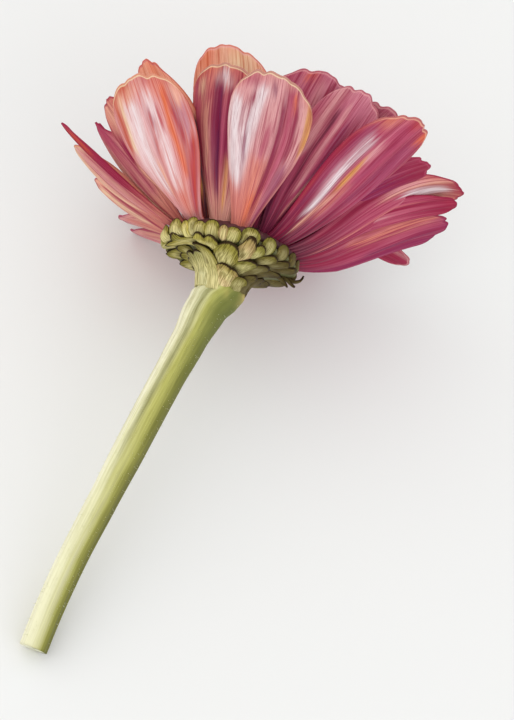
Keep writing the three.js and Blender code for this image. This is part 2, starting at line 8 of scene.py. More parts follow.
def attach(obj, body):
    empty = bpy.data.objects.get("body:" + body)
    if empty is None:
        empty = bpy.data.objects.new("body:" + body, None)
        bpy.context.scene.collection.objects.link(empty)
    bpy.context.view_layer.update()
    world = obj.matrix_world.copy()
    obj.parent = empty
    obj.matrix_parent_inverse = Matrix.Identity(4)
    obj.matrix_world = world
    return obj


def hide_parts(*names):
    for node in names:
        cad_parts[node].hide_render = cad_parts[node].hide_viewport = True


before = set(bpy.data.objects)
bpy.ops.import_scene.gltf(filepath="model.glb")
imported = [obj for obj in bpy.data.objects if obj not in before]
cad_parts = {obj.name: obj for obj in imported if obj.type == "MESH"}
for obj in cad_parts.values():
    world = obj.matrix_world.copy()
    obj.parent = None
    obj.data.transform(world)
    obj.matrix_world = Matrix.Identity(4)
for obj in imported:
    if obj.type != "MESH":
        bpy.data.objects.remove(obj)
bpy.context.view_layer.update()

# Camera
# The flower lies on a table. The camera looks down on it, so that the stem comes up from
# the lower left of the picture and the back of the bloom faces the viewer.
mm = 0.001
HEAD_CENTRE = Vector((2.456, 23.815, 27.5)) * mm
CAMERA_RISE = math.radians(60)
CAMERA_ROLL = math.radians(27.2)
CAMERA_DISTANCE = 620 * mm
CAMERA_LENS = 155
SENSOR_SIDE = 36
AIM_RIGHT = 5.4 * mm
AIM_DOWN = 20.6 * mm

level_right = Vector((1, 0, 0))
level_up = Vector((0, math.sin(CAMERA_RISE), math.cos(CAMERA_RISE)))
picture_right = level_right * math.cos(CAMERA_ROLL) + level_up * math.sin(CAMERA_ROLL)
picture_up = level_up * math.cos(CAMERA_ROLL) - level_right * math.sin(CAMERA_ROLL)
to_viewer = Vector((0, -math.cos(CAMERA_RISE), math.sin(CAMERA_RISE)))
aim = HEAD_CENTRE + picture_right * AIM_RIGHT - picture_up * AIM_DOWN

lens = bpy.data.cameras.new("flower_camera")
lens.sensor_width = SENSOR_SIDE
lens.lens = CAMERA_LENS
camera = bpy.data.objects.new("flower_camera", lens)
turn = Matrix((picture_right, picture_up, to_viewer)).transposed()
camera.matrix_world = Matrix.Translation(aim + to_viewer * CAMERA_DISTANCE) @ turn.to_4x4()
bpy.context.collection.objects.link(camera)
bpy.context.scene.camera = camera

# Light
# Plain soft studio light: a large panel over the left shoulder, a weak one from the right,
# and an even pale surround that keeps the shadows open.
bpy.context.scene.view_settings.view_transform = "Standard"


def light_panel(name, right, up, near, side, watts, colour):
    panel = bpy.data.lights.new(name, "AREA")
    panel.shape = "SQUARE"
    panel.size = side
    panel.energy = watts
    panel.color = colour
    holder = bpy.data.objects.new(name, panel)
    towards = picture_right * right + picture_up * up + to_viewer * near
    holder.location = HEAD_CENTRE + towards
    holder.rotation_euler = towards.to_track_quat("Z", "Y").to_euler()
    bpy.context.collection.objects.link(holder)


light_panel("main_panel", right=-0.4, up=0.55, near=0.9, side=1.5, watts=4.6,
            colour=(1.0, 0.985, 0.96))
light_panel("side_panel", right=0.8, up=-0.4, near=0.7, side=1.2, watts=2.0,
            colour=(0.97, 0.98, 1.0))
surround = bpy.data.worlds.new("pale_surround")
surround.use_nodes = True
backdrop = surround.node_tree.nodes["Background"]
backdrop.inputs["Color"].default_value = (0.98, 0.99, 1.0, 1.0)
backdrop.inputs["Strength"].default_value = 0.96
bpy.context.scene.world = surround


# Floor
# A plain pale table top of smooth matt board, which the flower lies on. It is far wider than
# the flower, so that no edge of it shows.
def linear(code):
    """A colour given by its six hexadecimal digits, as linear values from 0 to 1."""
    parts = [int(code[i:i + 2], 16) / 255 for i in (0, 2, 4)]
    return Vector([p / 12.92 if p < 0.04045 else ((p + 0.055) / 1.055) ** 2.4 for p in parts])


class Wire:
    """The output of a material's node. Sums, differences and products of it add Math nodes."""

    def __init__(self, socket):
        self.socket = socket

    def node(self, kind, settings, inputs, output=0):
        made = self.socket.id_data.nodes.new(kind)
        for name, value in settings.items():
            setattr(made, name, value)
        for name, value in inputs.items():
            if isinstance(value, Wire):
                self.socket.id_data.links.new(value.socket, made.inputs[name])
            else:
                made.inputs[name].default_value = value
        return Wire(made.outputs[output])

    def math(self, operation, *values):
        return self.node("ShaderNodeMath", {"operation": operation}, dict(enumerate(values)))

    def __add__(self, other):
        return self.math("ADD", self, other)

    def __radd__(self, other):
        return self.math("ADD", other, self)

    def __sub__(self, other):
        return self.math("SUBTRACT", self, other)

    def __rsub__(self, other):
        return self.math("SUBTRACT", other, self)

    def __mul__(self, other):
        return self.math("MULTIPLY", self, other)

    def __rmul__(self, other):
        return self.math("MULTIPLY", other, self)

    def size(self):
        return self.math("ABSOLUTE", self)

    def larger(self, other):
        return self.math("MAXIMUM", self, other)

    def rise(self, low, high):
        """0 below low and 1 above high, with a soft step between them."""
        between = {"Value": self, "From Min": low, "From Max": high}
        return self.node("ShaderNodeMapRange", {"interpolation_type": "SMOOTHSTEP"}, between)

    def tint(self, under, over, blend="MIX"):
        """The colour over laid on the colour under, as far as this value says."""
        settings = {"data_type": "RGBA", "blend_type": blend}
        laid = {"Factor": self}
        for place, colour in ((6, under), (7, over)):
            laid[place] = colour if isinstance(colour, Wire) else (*colour, 1.0)
        return self.node("ShaderNodeMix", settings, laid, 2)

    def stretched(self, x, y, z):
        return self.node("ShaderNodeMapping", {}, {"Vector": self, "Scale": (x, y, z)})

    def grain(self, scale, detail=2.0):
        return self.node("ShaderNodeTexNoise", {}, {"Vector": self, "Scale": scale, "Detail": detail})

    def together(self, y, z):
        """A place whose three numbers are this value and two others."""
        return self.node("ShaderNodeCombineXYZ", {}, {"X": self, "Y": y, "Z": z})

    def parts(self):
        split = self.node("ShaderNodeSeparateXYZ", {}, {"Vector": self}).socket.node
        return [Wire(out) for out in split.outputs]

    def mark(self, name, output="Color"):
        """What a piece's mesh says under this name at each of its points."""
        return self.node("ShaderNodeAttribute", {"attribute_name": name}, {}, output)


def new_finish(name, roughness, **plain):
    """A material, with its place on the object, its map and its shader."""
    material = bpy.data.materials.new(name)
    material.use_nodes = True
    shader = material.node_tree.nodes["Principled BSDF"]
    shader.inputs["Roughness"].default_value = roughness
    for socket, value in plain.items():
        shader.inputs[socket.replace("_", " ")].default_value = value
    where = material.node_tree.nodes.new("ShaderNodeTexCoord")
    return material, Wire(where.outputs["Object"]), Wire(where.outputs["UV"]), shader


def feed(shader, **wires):
    for socket, wire in wires.items():
        links = shader.id_data.links
        links.new(wire.socket, shader.inputs[socket.replace("_", " ")])


def raised(height, depth, strength):
    """The normal of a surface that stands up by depth where height is 1."""
    return height.node("ShaderNodeBump", {}, {"Height": height, "Distance": depth, "Strength": strength})


def finished(name, mesh_tool, material):
    """An object from a bmesh, with smooth faces and one material."""
    mesh = bpy.data.meshes.new(name)
    for face in mesh_tool.faces:
        face.smooth = True
    mesh_tool.to_mesh(mesh)
    mesh_tool.free()
    mesh.materials.append(material)
    piece = bpy.data.objects.new(name, mesh)
    bpy.context.collection.objects.link(piece)
    return piece


BOARD_HALF_SIDE = 3.0
board = bmesh.new()
bmesh.ops.create_grid(board, x_segments=1, y_segments=1, size=BOARD_HALF_SIDE)
board_finish, place, _, shader = new_finish("matt_board", 0.9)
cloud = place.grain(3.0)
feed(shader, Base_Color=cloud.tint(linear("e6e6e4"), linear("e3e3e1")))
finished("table_top", board, board_finish)

# Ray florets
# Thin broad petals in three whorls round the disc, the outer ones lowest. Each grows from
# a narrow foot, is folded lengthwise in a few pleats, cups a little and has a notched tip.
# Their backs are streaked, from near white to crimson, and their faces are deep rose. The
# backs on the left of the head are pale salmon and flesh, partly painted light, and those on
# the right, away from the light, are darker crimson and wine, darkest at their feet, partly
# painted shade.
HEAD_RISE = math.radians(13.2)
HEAD_TURN = math.radians(13)
facing = Matrix(((0, 1, 0), (0, 0, 1), (1, 0, 0)))
facing = Matrix.Rotation(HEAD_TURN, 3, "Z") @ Matrix.Rotation(HEAD_RISE, 3, "X") @ facing
HEAD = Matrix.Translation(HEAD_CENTRE) @ facing.to_4x4()

WHORL_ROOTS = {"outer": (12.4, 2.6), "middle": (11.0, 3.4), "inner": (10.0, 4.2)}
PETAL_THICKNESS = 0.45 * mm
PETAL_COLUMNS = 60
PETAL_ROWS = 48
ROOT_SUNK = 1.6
PLEAT_DEPTH = 0.4
PLEATS = 3
WIDEST_AT = 0.66
TIP_ROUNDING = 0.34
NOTCH_DEPTH = 0.02
NOTCHED_WIDTH = 14
FULL_PLEAT_WIDTH = 9
NARROW_WIDTH = 10
EDGE_SWELL = 0.3

WHITE = linear("f1e7e9")
CREAM = linear("f4ddb2")
PEACH = linear("eeb296")
ORANGE = linear("e26f3c")
RUST = linear("bd4a26")
SALMON = linear("da8472")
PINK = linear("dea1a1")
ROSE = linear("b44c68")
RED = linear("ab2038")
CRIMSON = linear("941c40")
MAGENTA = linear("841c50")
MAUVE = linear("8e4468")
PLUM = linear("6a2450")
WINE = linear("480c2a")
GOLD = linear("e2a94a")
SHADE = linear("2e2130")
CORAL = linear("c4503f")
FLESH = linear("d59a86")
SHELL = linear("c8788c")


def streak(colour, across, along, width, strength):
    """A brush of colour along a petal: across is its place, or its places at its start and end."""
    first, last = across if isinstance(across, tuple) else (across, across)
    return colour, first, last, along, width, strength


def floret(whorl, clock, opening, length, width, roll=0, dip=0, sway=0, point=0, cup=0.1, foot=0.18,
           tones=(SALMON, ROSE, ROSE), streaks=(), folds=(), rim=(PINK, 0.5), blush=(ROSE, 0.3),
           ink=CRIMSON):
    """A ray floret: its place and shape, and the colours of its back, its edge and its veins."""
    return dict(whorl=whorl, clock=math.radians(clock), opening=opening, length=length,
                width=width, roll=math.radians(roll), dip=dip, sway=sway, point=point, foot=foot,
                cup=cup, tones=tones, streaks=streaks, folds=folds, rim=rim, blush=blush, ink=ink)


RAY_FLORETS = [
    floret(
        "outer", -3, (45, 69), 38.5, 16.3, roll=-4, dip=-2, sway=-2, foot=0.26,
        tones=(SALMON, PINK, PINK), rim=(CREAM, 0.8), blush=(SALMON, 0.5),
        folds=[(-0.48, 0.4, 0.07), (0.3, 0.7, 0.1), (0.62, 0.5, 0.08)],
        streaks=[
            streak(WHITE, (-0.8, -0.85), (0.26, 0.74), 0.26, 0.9),
            streak(WHITE, (-0.62, -0.24), (0.22, 0.88), 0.17, 0.85),
            streak(MAUVE, (-0.48, -0.5), (0.36, 0.52), 0.04, 0.6),
            streak(CRIMSON, (-0.5, -0.46), (0.72, 0.8), 0.08, 0.75),
            streak(ROSE, (-0.62, -0.6), (0.87, 0.97), 0.3, 0.7),
            streak(PLUM, (0.02, -0.02), (0.87, 0.95), 0.05, 0.8),
            streak(ROSE, (0.0, 0.05), (0.42, 0.66), 0.08, 0.7),
            streak(SALMON, (-0.1, 0.0), (0.0, 0.42), 0.3, 0.9),
            streak(ORANGE, (0.05, 0.1), (0.0, 0.2), 0.2, 0.7),
            streak(CRIMSON, 0.3, (0.12, 0.76), 0.05, 0.85),
            streak(ROSE, 0.46, (0.2, 0.92), 0.15, 0.9),
            streak(ORANGE, 0.56, (0.74, 0.9), 0.05, 0.8),
            streak(CRIMSON, (0.62, 0.64), (0.42, 0.76), 0.07, 0.85),
            streak(MAUVE, 0.75, (0.0, 0.4), 0.2, 0.8),
            streak(PINK, 0.85, (0.34, 0.5), 0.08, 0.8),
            streak(GOLD, (0.95, 0.93), (0.5, 0.9), 0.08, 0.95)]),
    floret(
        "outer", 43, (61, 65), 38.9, 15.9, dip=13, sway=-5.8, foot=0.38, tones=(WINE, ROSE, ROSE),
        rim=(PEACH, 0.8), blush=(ORANGE, 0.35),
        folds=[(-0.8, 0.9, 0.12), (-0.04, 0.5, 0.1), (0.4, 0.5, 0.12)],
        streaks=[
            streak(CRIMSON, -0.94, (0.15, 0.74), 0.13, 0.95),
            # Painted highlight along a ridge, laid over a pale streak of the petal.
            streak(WHITE, (-0.56, -0.62), (0.2, 0.76), 0.1, 0.95),
            streak(PEACH, (-0.4, -0.3), (0.1, 0.4), 0.08, 0.8),
            streak(GOLD, -0.3, (0.42, 0.68), 0.06, 0.85),
            streak(PINK, -0.26, (0.64, 0.78), 0.1, 0.8),
            streak(SALMON, -0.12, (0.25, 0.5), 0.1, 0.6),
            streak(CRIMSON, (-0.06, -0.04), (0.62, 0.84), 0.05, 0.9),
            streak(CRIMSON, (-0.42, -0.46), (0.76, 0.92), 0.05, 0.8),
            streak(SALMON, (-0.7, -0.62), (0.84, 0.95), 0.16, 0.8),
            streak(MAUVE, (0.5, 0.6), (0.4, 0.86), 0.3, 0.4),
            streak(RED, (0.0, 0.05), (0.93, 1.0), 0.12, 0.8),
            streak(ORANGE, (0.6, 0.62), (0.88, 1.0), 0.14, 0.9)]),
    floret(
        "outer", 113.2, (81, 61), 37.2, 14.3, roll=-28, dip=20, sway=-7.7, foot=0.45,
        tones=(WINE, ROSE, ROSE), rim=(MAGENTA, 0.7), blush=(MAGENTA, 0.7),
        streaks=[
            streak(CRIMSON, -0.95, (0.1, 1.0), 0.16, 0.9),
            streak(SALMON, -0.75, (0.4, 0.92), 0.1, 0.95),
            streak(CRIMSON, -0.62, (0.4, 0.8), 0.03, 0.7),
            streak(SALMON, -0.5, (0.42, 0.88), 0.09, 0.9),
            streak(CRIMSON, -0.3, (0.1, 1.0), 0.12, 0.8),
            streak(PLUM, 0.0, (0.5, 0.95), 0.12, 0.8),
            streak(MAGENTA, 0.6, (0.1, 1.0), 0.5, 0.9)]),
    floret("outer", 146, (57, 60), 30, 15, roll=-8),
    floret("outer", 175, (45, 53), 28, 15, roll=-3),
    floret(
        "outer", 203, (73, 71), 23.1, 7.6, dip=-3, sway=5, point=0.3, tones=(SALMON, FLESH, PINK),
        rim=(CRIMSON, 0.8), blush=(MAUVE, 0.5), ink=ROSE,
        streaks=[
            streak(PINK, 0.1, (0.3, 0.9), 0.3, 0.7),
            streak(CRIMSON, (-0.35, -0.3), (0.1, 0.85), 0.06, 0.8),
            streak(ROSE, (0.5, 0.45), (0.2, 0.9), 0.08, 0.8)]),
    floret(
        "outer", 220, (63, 78), 22.8, 5.6, roll=7, dip=-2, point=0.3, tones=(SALMON, FLESH, PINK),
        rim=(CRIMSON, 0.8), blush=(MAUVE, 0.6), ink=ROSE,
        streaks=[
            streak(SALMON, 0.3, (0.3, 0.9), 0.3, 0.6),
            streak(CRIMSON, (-0.2, -0.1), (0.1, 0.9), 0.07, 0.8),
            streak(CREAM, (0.55, 0.5), (0.3, 0.9), 0.1, 0.6)]),
    floret(
        "outer", 243, (67, 56), 23.6, 6.2, roll=29, dip=-3, sway=-1, point=0.4,
        tones=(SALMON, FLESH, PEACH), rim=(CRIMSON, 0.8), blush=(CRIMSON, 0.6), ink=ROSE,
        streaks=[
            streak(SALMON, 0.5, (0.2, 0.9), 0.25, 0.8),
            streak(CRIMSON, (0.1, 0.15), (0.1, 0.9), 0.07, 0.85),
            streak(CREAM, (-0.45, -0.4), (0.3, 0.9), 0.15, 0.7)]),
    floret(
        "outer", 271, (77, 56), 25.8, 5.4, roll=34, sway=1, point=0.5, cup=0.5,
        tones=(SALMON, FLESH, FLESH), rim=(GOLD, 0.6), blush=(CREAM, 0.5), ink=ROSE,
        streaks=[
            streak(PINK, (-0.1, 0.0), (0.2, 1.0), 0.25, 0.7),
            streak(CREAM, -0.8, (0.3, 0.95), 0.3, 0.85),
            streak(CRIMSON, (-0.35, -0.25), (0.1, 0.8), 0.06, 0.75),
            streak(ROSE, (0.35, 0.3), (0.1, 0.9), 0.08, 0.8),
            streak(CRIMSON, (0.85, 0.75), (0.2, 1.0), 0.14, 0.7)]),
    floret(
        "outer", 280.5, (74, 59), 30.6, 1.7, roll=40, sway=-0.4, point=0.2, cup=0.5,
        tones=(SALMON, CRIMSON, CRIMSON), rim=(CRIMSON, 0.5), blush=(CRIMSON, 0.6),
        streaks=[
            streak(RUST, 0.0, (0.72, 0.94), 0.5, 0.9)]),
    floret(
        "outer", 306.5, (62, 63), 33.7, 17.2, roll=16, dip=6, sway=6.3, foot=0.26,
        tones=(PINK, PINK, PINK), rim=(CREAM, 0.8), blush=(RUST, 0.4), ink=CORAL,
        folds=[(-0.02, 0.35, 0.06), (0.68, 0.7, 0.1)],
        streaks=[
            streak(SALMON, (0.3, 0.25), (0.0, 0.3), 0.3, 0.7),
            streak(WHITE, (-0.38, -0.36), (0.2, 0.86), 0.25, 0.78),
            streak(CREAM, -0.62, (0.5, 0.92), 0.07, 0.8),
            streak(RUST, -0.76, (0.52, 0.93), 0.1, 0.95),
            streak(RUST, (-0.5, -0.42), (0.9, 1.0), 0.25, 0.95),
            streak(PEACH, (-0.5, -0.2), (0.84, 0.96), 0.3, 0.7),
            streak(ORANGE, (0.4, 0.5), (0.8, 0.98), 0.3, 0.45),
            streak(PEACH, (-0.14, -0.1), (0.16, 0.42), 0.06, 0.8),
            streak(WHITE, (0.2, 0.16), (0.22, 0.86), 0.12, 0.75),
            streak(RED, (0.28, 0.27), (0.62, 0.78), 0.04, 0.85),
            streak(CRIMSON, 0.1, (0.6, 0.74), 0.06, 0.75),
            streak(CRIMSON, (0.0, 0.04), (0.48, 0.6), 0.04, 0.5),
            streak(CRIMSON, (0.24, 0.22), (0.95, 1.0), 0.08, 0.8),
            streak(ORANGE, (0.62, 0.48), (0.26, 0.6), 0.1, 0.95),
            streak(ORANGE, (0.48, 0.58), (0.56, 0.88), 0.1, 0.95),
            # Painted shade along the valley of the fold at 0.68.
            streak(RED, (0.66, 0.68), (0.5, 0.74), 0.05, 0.85),
            streak(MAUVE, 0.84, (0.52, 0.74), 0.1, 0.5),
            streak(PEACH, 0.84, (0.72, 0.88), 0.14, 0.8),
            streak(RED, (0.72, 0.9), (0.02, 0.5), 0.12, 0.95)]),
    floret(
        "middle", 25, (45, 47), 35.7, 14.8, roll=-41, dip=2, sway=-0.8, tones=(WINE, ROSE, SHELL),
        rim=(PINK, 0.7), blush=(PINK, 0.35),
        streaks=[
            streak(PINK, (-0.55, -0.6), (0.5, 0.97), 0.16, 0.8),
            streak(WINE, (-0.3, -0.35), (0.05, 0.85), 0.06, 0.85),
            streak(PINK, (-0.1, -0.15), (0.3, 0.9), 0.07, 0.7),
            streak(MAUVE, 0.1, (0.2, 0.8), 0.08, 0.8),
            streak(PLUM, -0.9, (0.1, 0.6), 0.2, 0.6),
            streak(PEACH, (0.05, 0.2), (0.15, 0.5), 0.05, 0.6)]),
    floret(
        "outer", 79, (64, 78), 39.8, 11.8, roll=-15, dip=32, sway=11.4, foot=0.55,
        tones=(WINE, ROSE, SALMON), rim=(CRIMSON, 0.7), blush=(RED, 0.5),
        streaks=[
            streak(CRIMSON, -0.85, (0.1, 0.6), 0.1, 0.9),
            streak(PEACH, (-0.55, -0.6), (0.55, 0.95), 0.16, 0.75),
            streak(PINK, -0.7, (0.6, 0.8), 0.12, 0.6),
            streak(SALMON, (0.0, 0.05), (0.1, 0.6), 0.08, 0.7),
            streak(CRIMSON, (0.15, 0.2), (0.1, 0.7), 0.08, 0.8),
            streak(CRIMSON, (-0.4, -0.5), (0.2, 0.75), 0.05, 0.7),
            # Painted highlight along a ridge, laid over a pale streak of the petal.
            streak(WHITE, (-0.25, -0.12), (0.68, 0.94), 0.15, 0.95),
            streak(PEACH, 0.3, (0.6, 0.92), 0.2, 0.85),
            streak(CRIMSON, (-0.1, -0.05), (0.95, 1.0), 0.4, 0.9)]),
    floret("middle", 100, (46, 58), 31, 13, roll=-12, dip=4, foot=0.3, tones=(WINE, CRIMSON, CRIMSON)),
    floret(
        "middle", 120, (38, 97), 36, 7.2, roll=-16, dip=-3, sway=-2,
        tones=(CRIMSON, CRIMSON, CRIMSON), rim=(PINK, 0.7),
        streaks=[
            streak(PINK, -0.5, (0.8, 1.0), 0.2, 0.6)]),
    floret("middle", 142, (42, 58), 31, 14, roll=-10),
    floret("middle", 163, (40, 44), 28, 14, roll=-14),
    floret("middle", 190, (30, 42), 28, 14, roll=-3),
    floret("middle", 216, (52, 66), 26, 9, roll=16, point=0.3, tones=(SALMON, PEACH, SALMON)),
    floret("middle", 246, (45, 56), 27, 11, roll=20, point=0.3, tones=(SALMON, PEACH, SALMON)),
    floret(
        "middle", 273, (66, 48), 26.7, 10.9, roll=8, dip=-1, sway=3, point=0.8, cup=0.4,
        tones=(SALMON, FLESH, ROSE), rim=(CRIMSON, 0.8), blush=(CRIMSON, 0.8),
        streaks=[
            streak(PINK, -0.2, (0.3, 0.8), 0.25, 0.7),
            streak(CREAM, (-0.7, -0.6), (0.1, 0.5), 0.15, 0.7),
            streak(CRIMSON, 0.1, (0.1, 0.9), 0.06, 0.8),
            streak(ROSE, (0.5, 0.3), (0.3, 1.0), 0.3, 0.85)]),
    floret(
        "middle", 294, (51, 59), 29.3, 12.6, roll=29, sway=-1, point=0.4, cup=0.3,
        tones=(SALMON, CRIMSON, SALMON), rim=(CRIMSON, 0.6), blush=(SALMON, 0.5),
        streaks=[
            streak(MAUVE, -0.2, (0.3, 0.8), 0.3, 0.8),
            streak(PEACH, -0.6, (0.1, 0.5), 0.15, 0.9),
            streak(PEACH, (-0.3, -0.5), (0.75, 1.0), 0.35, 0.8)]),
    floret(
        "middle", 334, (35, 58), 33.6, 19, roll=-11, sway=4, foot=0.28, tones=(FLESH, ROSE, SALMON),
        rim=(CREAM, 0.8), blush=(ORANGE, 0.4), folds=[(-0.26, 1.0, 0.12), (0.04, 0.8, 0.1)],
        streaks=[
            streak(ROSE, -0.86, (0.3, 0.95), 0.12, 0.8),
            streak(CRIMSON, -0.72, (0.3, 0.6), 0.05, 0.9),
            streak(PEACH, (-0.55, -0.56), (0.3, 0.74), 0.09, 0.85),
            streak(CREAM, (-0.68, -0.66), (0.74, 0.86), 0.1, 0.7),
            streak(PLUM, (-0.24, -0.28), (0.12, 0.84), 0.12, 0.95),
            streak(WHITE, -0.16, (0.85, 0.96), 0.16, 0.85),
            streak(CRIMSON, 0.03, (0.28, 0.82), 0.07, 0.95),
            streak(GOLD, 0.1, (0.08, 0.38), 0.08, 0.75),
            streak(MAUVE, 0.2, (0.3, 0.9), 0.1, 0.6),
            streak(ROSE, 0.15, (0.94, 1.0), 0.2, 0.7)]),
    floret(
        "inner", 14, (23, 35), 33.6, 19, roll=-12, sway=1, tones=(WINE, ROSE, SHELL),
        rim=(PINK, 0.6), blush=(ROSE, 0.4),
        streaks=[
            streak(ORANGE, -0.3, (0.93, 1.0), 0.16, 0.85),
            streak(CRIMSON, (-0.22, -0.24), (0.7, 0.96), 0.03, 0.8),
            streak(CRIMSON, (0.1, 0.2), (0.7, 0.95), 0.04, 0.7),
            streak(PINK, 0.0, (0.75, 0.95), 0.1, 0.5),
            streak(CRIMSON, 0.8, (0.5, 1.0), 0.15, 0.6)]),
    floret(
        "inner", 35, (48, 53), 35.8, 14.5, roll=-30, dip=4, tones=(WINE, ROSE, SHELL),
        rim=(PINK, 0.8), blush=(ROSE, 0.4),
        streaks=[
            streak(MAUVE, -0.6, (0.3, 0.95), 0.1, 0.7),
            streak(PINK, (-0.4, -0.42), (0.3, 0.97), 0.08, 0.9),
            streak(WINE, (-0.2, -0.25), (0.05, 0.9), 0.06, 0.85),
            streak(PINK, (-0.05, -0.08), (0.2, 0.95), 0.07, 0.9),
            streak(PEACH, 0.3, (0.1, 0.5), 0.08, 0.6)]),
    floret(
        "inner", 65, (43, 65), 33.4, 14, roll=-4, dip=4, foot=0.5, tones=(WINE, MAGENTA, CRIMSON),
        rim=(ROSE, 0.6), blush=(CRIMSON, 0.5),
        streaks=[
            streak(ROSE, -0.4, (0.8, 1.0), 0.15, 0.6)]),
    floret(
        "middle", 89.5, (53, 70), 38.3, 7, roll=-30, dip=8, sway=2, tones=(CRIMSON, ROSE, CRIMSON),
        rim=(CRIMSON, 0.6), blush=(RED, 0.5),
        streaks=[
            streak(CRIMSON, -0.35, (0.4, 0.95), 0.07, 0.95),
            streak(PINK, (-0.15, -0.1), (0.3, 0.6), 0.05, 0.7),
            streak(SALMON, -0.6, (0.3, 0.8), 0.06, 0.4)]),
    floret("inner", 108, (29, 46), 30, 13, roll=-9, dip=2),
    floret("inner", 140, (25, 35), 29, 13, roll=-12),
    floret("inner", 180, (25, 33), 26, 13, roll=-15),
    floret("inner", 221, (21, 34), 26, 13, roll=-5),
    floret("inner", 262, (30, 40), 27, 13, roll=20),
    floret(
        "inner", 308, (43, 46), 33.6, 11.5, roll=19, dip=-3, sway=-1, point=0.4,
        tones=(ROSE, PEACH, PEACH), rim=(ROSE, 0.6), blush=(ORANGE, 0.4), ink=RUST,
        streaks=[
            streak(ORANGE, 0.2, (0.85, 1.0), 0.2, 0.5),
            streak(SHADE, 0.9, (-0.1, 0.62), 0.8, 1.0),
            streak(GOLD, 0.6, (0.1, 0.16), 0.07, 1.0),
            streak(GOLD, 0.68, (0.17, 0.22), 0.07, 1.0),
            streak(MAUVE, 0.62, (0.3, 0.5), 0.12, 0.7),
            streak(GOLD, 0.58, (0.22, 0.28), 0.07, 1.0)]),
    floret(
        "inner", 337, (27, 37), 34.4, 17.7, roll=-2, dip=2, sway=-2.4, tones=(ROSE, PEACH, PEACH),
        rim=(PINK, 0.7), blush=(ORANGE, 0.35), ink=RUST,
        streaks=[
            streak(CREAM, 0.3, (0.8, 1.0), 0.4, 0.85),
            streak(SHADE, -0.9, (-0.1, 0.62), 0.8, 1.0),
            streak(ORANGE, -0.55, (0.8, 1.0), 0.2, 0.5),
            streak(ROSE, 0.95, (0.7, 1.0), 0.1, 0.9)]),
]


def between(low, high, value):
    """0 below low and 1 above high, with a soft step between them."""
    share = min(max((value - low) / (high - low), 0.0), 1.0)
    return share * share * (3 - 2 * share)


def midrib(petal, x):
    """How far out and along the axis a petal's midrib has come, and its opening there."""
    root, tip = (math.radians(angle) for angle in petal["opening"])
    belly = math.radians(petal["dip"])
    if x <= 0:
        return math.sin(root) * x, math.cos(root) * x, root

    def opening(share):
        return root + (tip - root) * share - belly * 4 * share * (1 - share)

    steps = 12
    angles = [opening(x * (k + 0.5) / steps) for k in range(steps)]
    out = sum(math.sin(angle) for angle in angles) * x / steps
    along = sum(math.cos(angle) for angle in angles) * x / steps
    return out, along, opening(x)


def half_width(petal, x):
    rise = min(max(x, 0.0) / WIDEST_AT, 1.0)
    swell = petal["foot"] + (1 - petal["foot"]) * math.sin(rise * math.pi / 2) ** 1.15
    fall = 0.08 * max(0.0, (x - WIDEST_AT) / (1 - WIDEST_AT)) ** 2
    narrowed = 1 - petal["point"] * max(0.0, (x - 0.55) / 0.45) ** 1.6
    return petal["width"] / 2 * (swell - fall) * narrowed


def tip_reach(petal, q):
    broad = min(1.0, petal["width"] / NOTCHED_WIDTH) ** 2
    notch = NOTCH_DEPTH * broad * math.exp(-((abs(q) - 1 / 3) / 0.11) ** 2)
    ragged = 0.012 * broad * noise.noise(Vector((q * 5, petal["clock"] * 9, 4.0)))
    return 1 - TIP_ROUNDING * (1 - math.sqrt(1 - 0.98 * abs(q) ** 2.4)) - notch + ragged


def petal_point(petal, x, q):
    """A point of a petal's middle surface in the head's frame, in millimetres."""
    clock = petal["clock"]
    outward = Vector((math.cos(clock), math.sin(clock), 0))
    tangent = Vector((-math.sin(clock), math.cos(clock), 0))
    axis = Vector((0, 0, 1))
    radius, height = WHORL_ROOTS[petal["whorl"]]
    out, along, angle = midrib(petal, x)
    point = outward * (radius + out * petal["length"])
    point += axis * (height + along * petal["length"]) + tangent * petal["sway"] * x * x
    face = axis * math.sin(angle) - outward * math.cos(angle)
    roll = petal["roll"] * min(max(x * 2.5, 0.0), 1.0)
    across = tangent * math.cos(roll) + face * math.sin(roll)
    normal = face * math.cos(roll) - tangent * math.sin(roll)
    half = half_width(petal, x)
    trough = (0.5 + (petal["cup"] - 0.5) * max(x, 0.0)) * half * q * q
    fade = math.sqrt(math.sin(math.pi * min(max(x, 0.0), 1.0)))
    shallower = min(1.0, petal["width"] / FULL_PLEAT_WIDTH)
    pleat = PLEAT_DEPTH * shallower * math.cos(PLEATS * math.pi * q)
    for place, depth, width in petal["folds"]:
        pleat -= depth * math.exp(-((q - place) / width) ** 2)
    rim_wave = noise.noise(Vector((q * 3.5, petal["clock"] * 5, x * 2.5)))
    ruffle = 0.008 * min(half, 9) ** 2 * rim_wave * between(0.55, 1.0, max(x, abs(q) * 0.9))
    return point + across * half * q + normal * (trough - pleat * fade + ruffle)


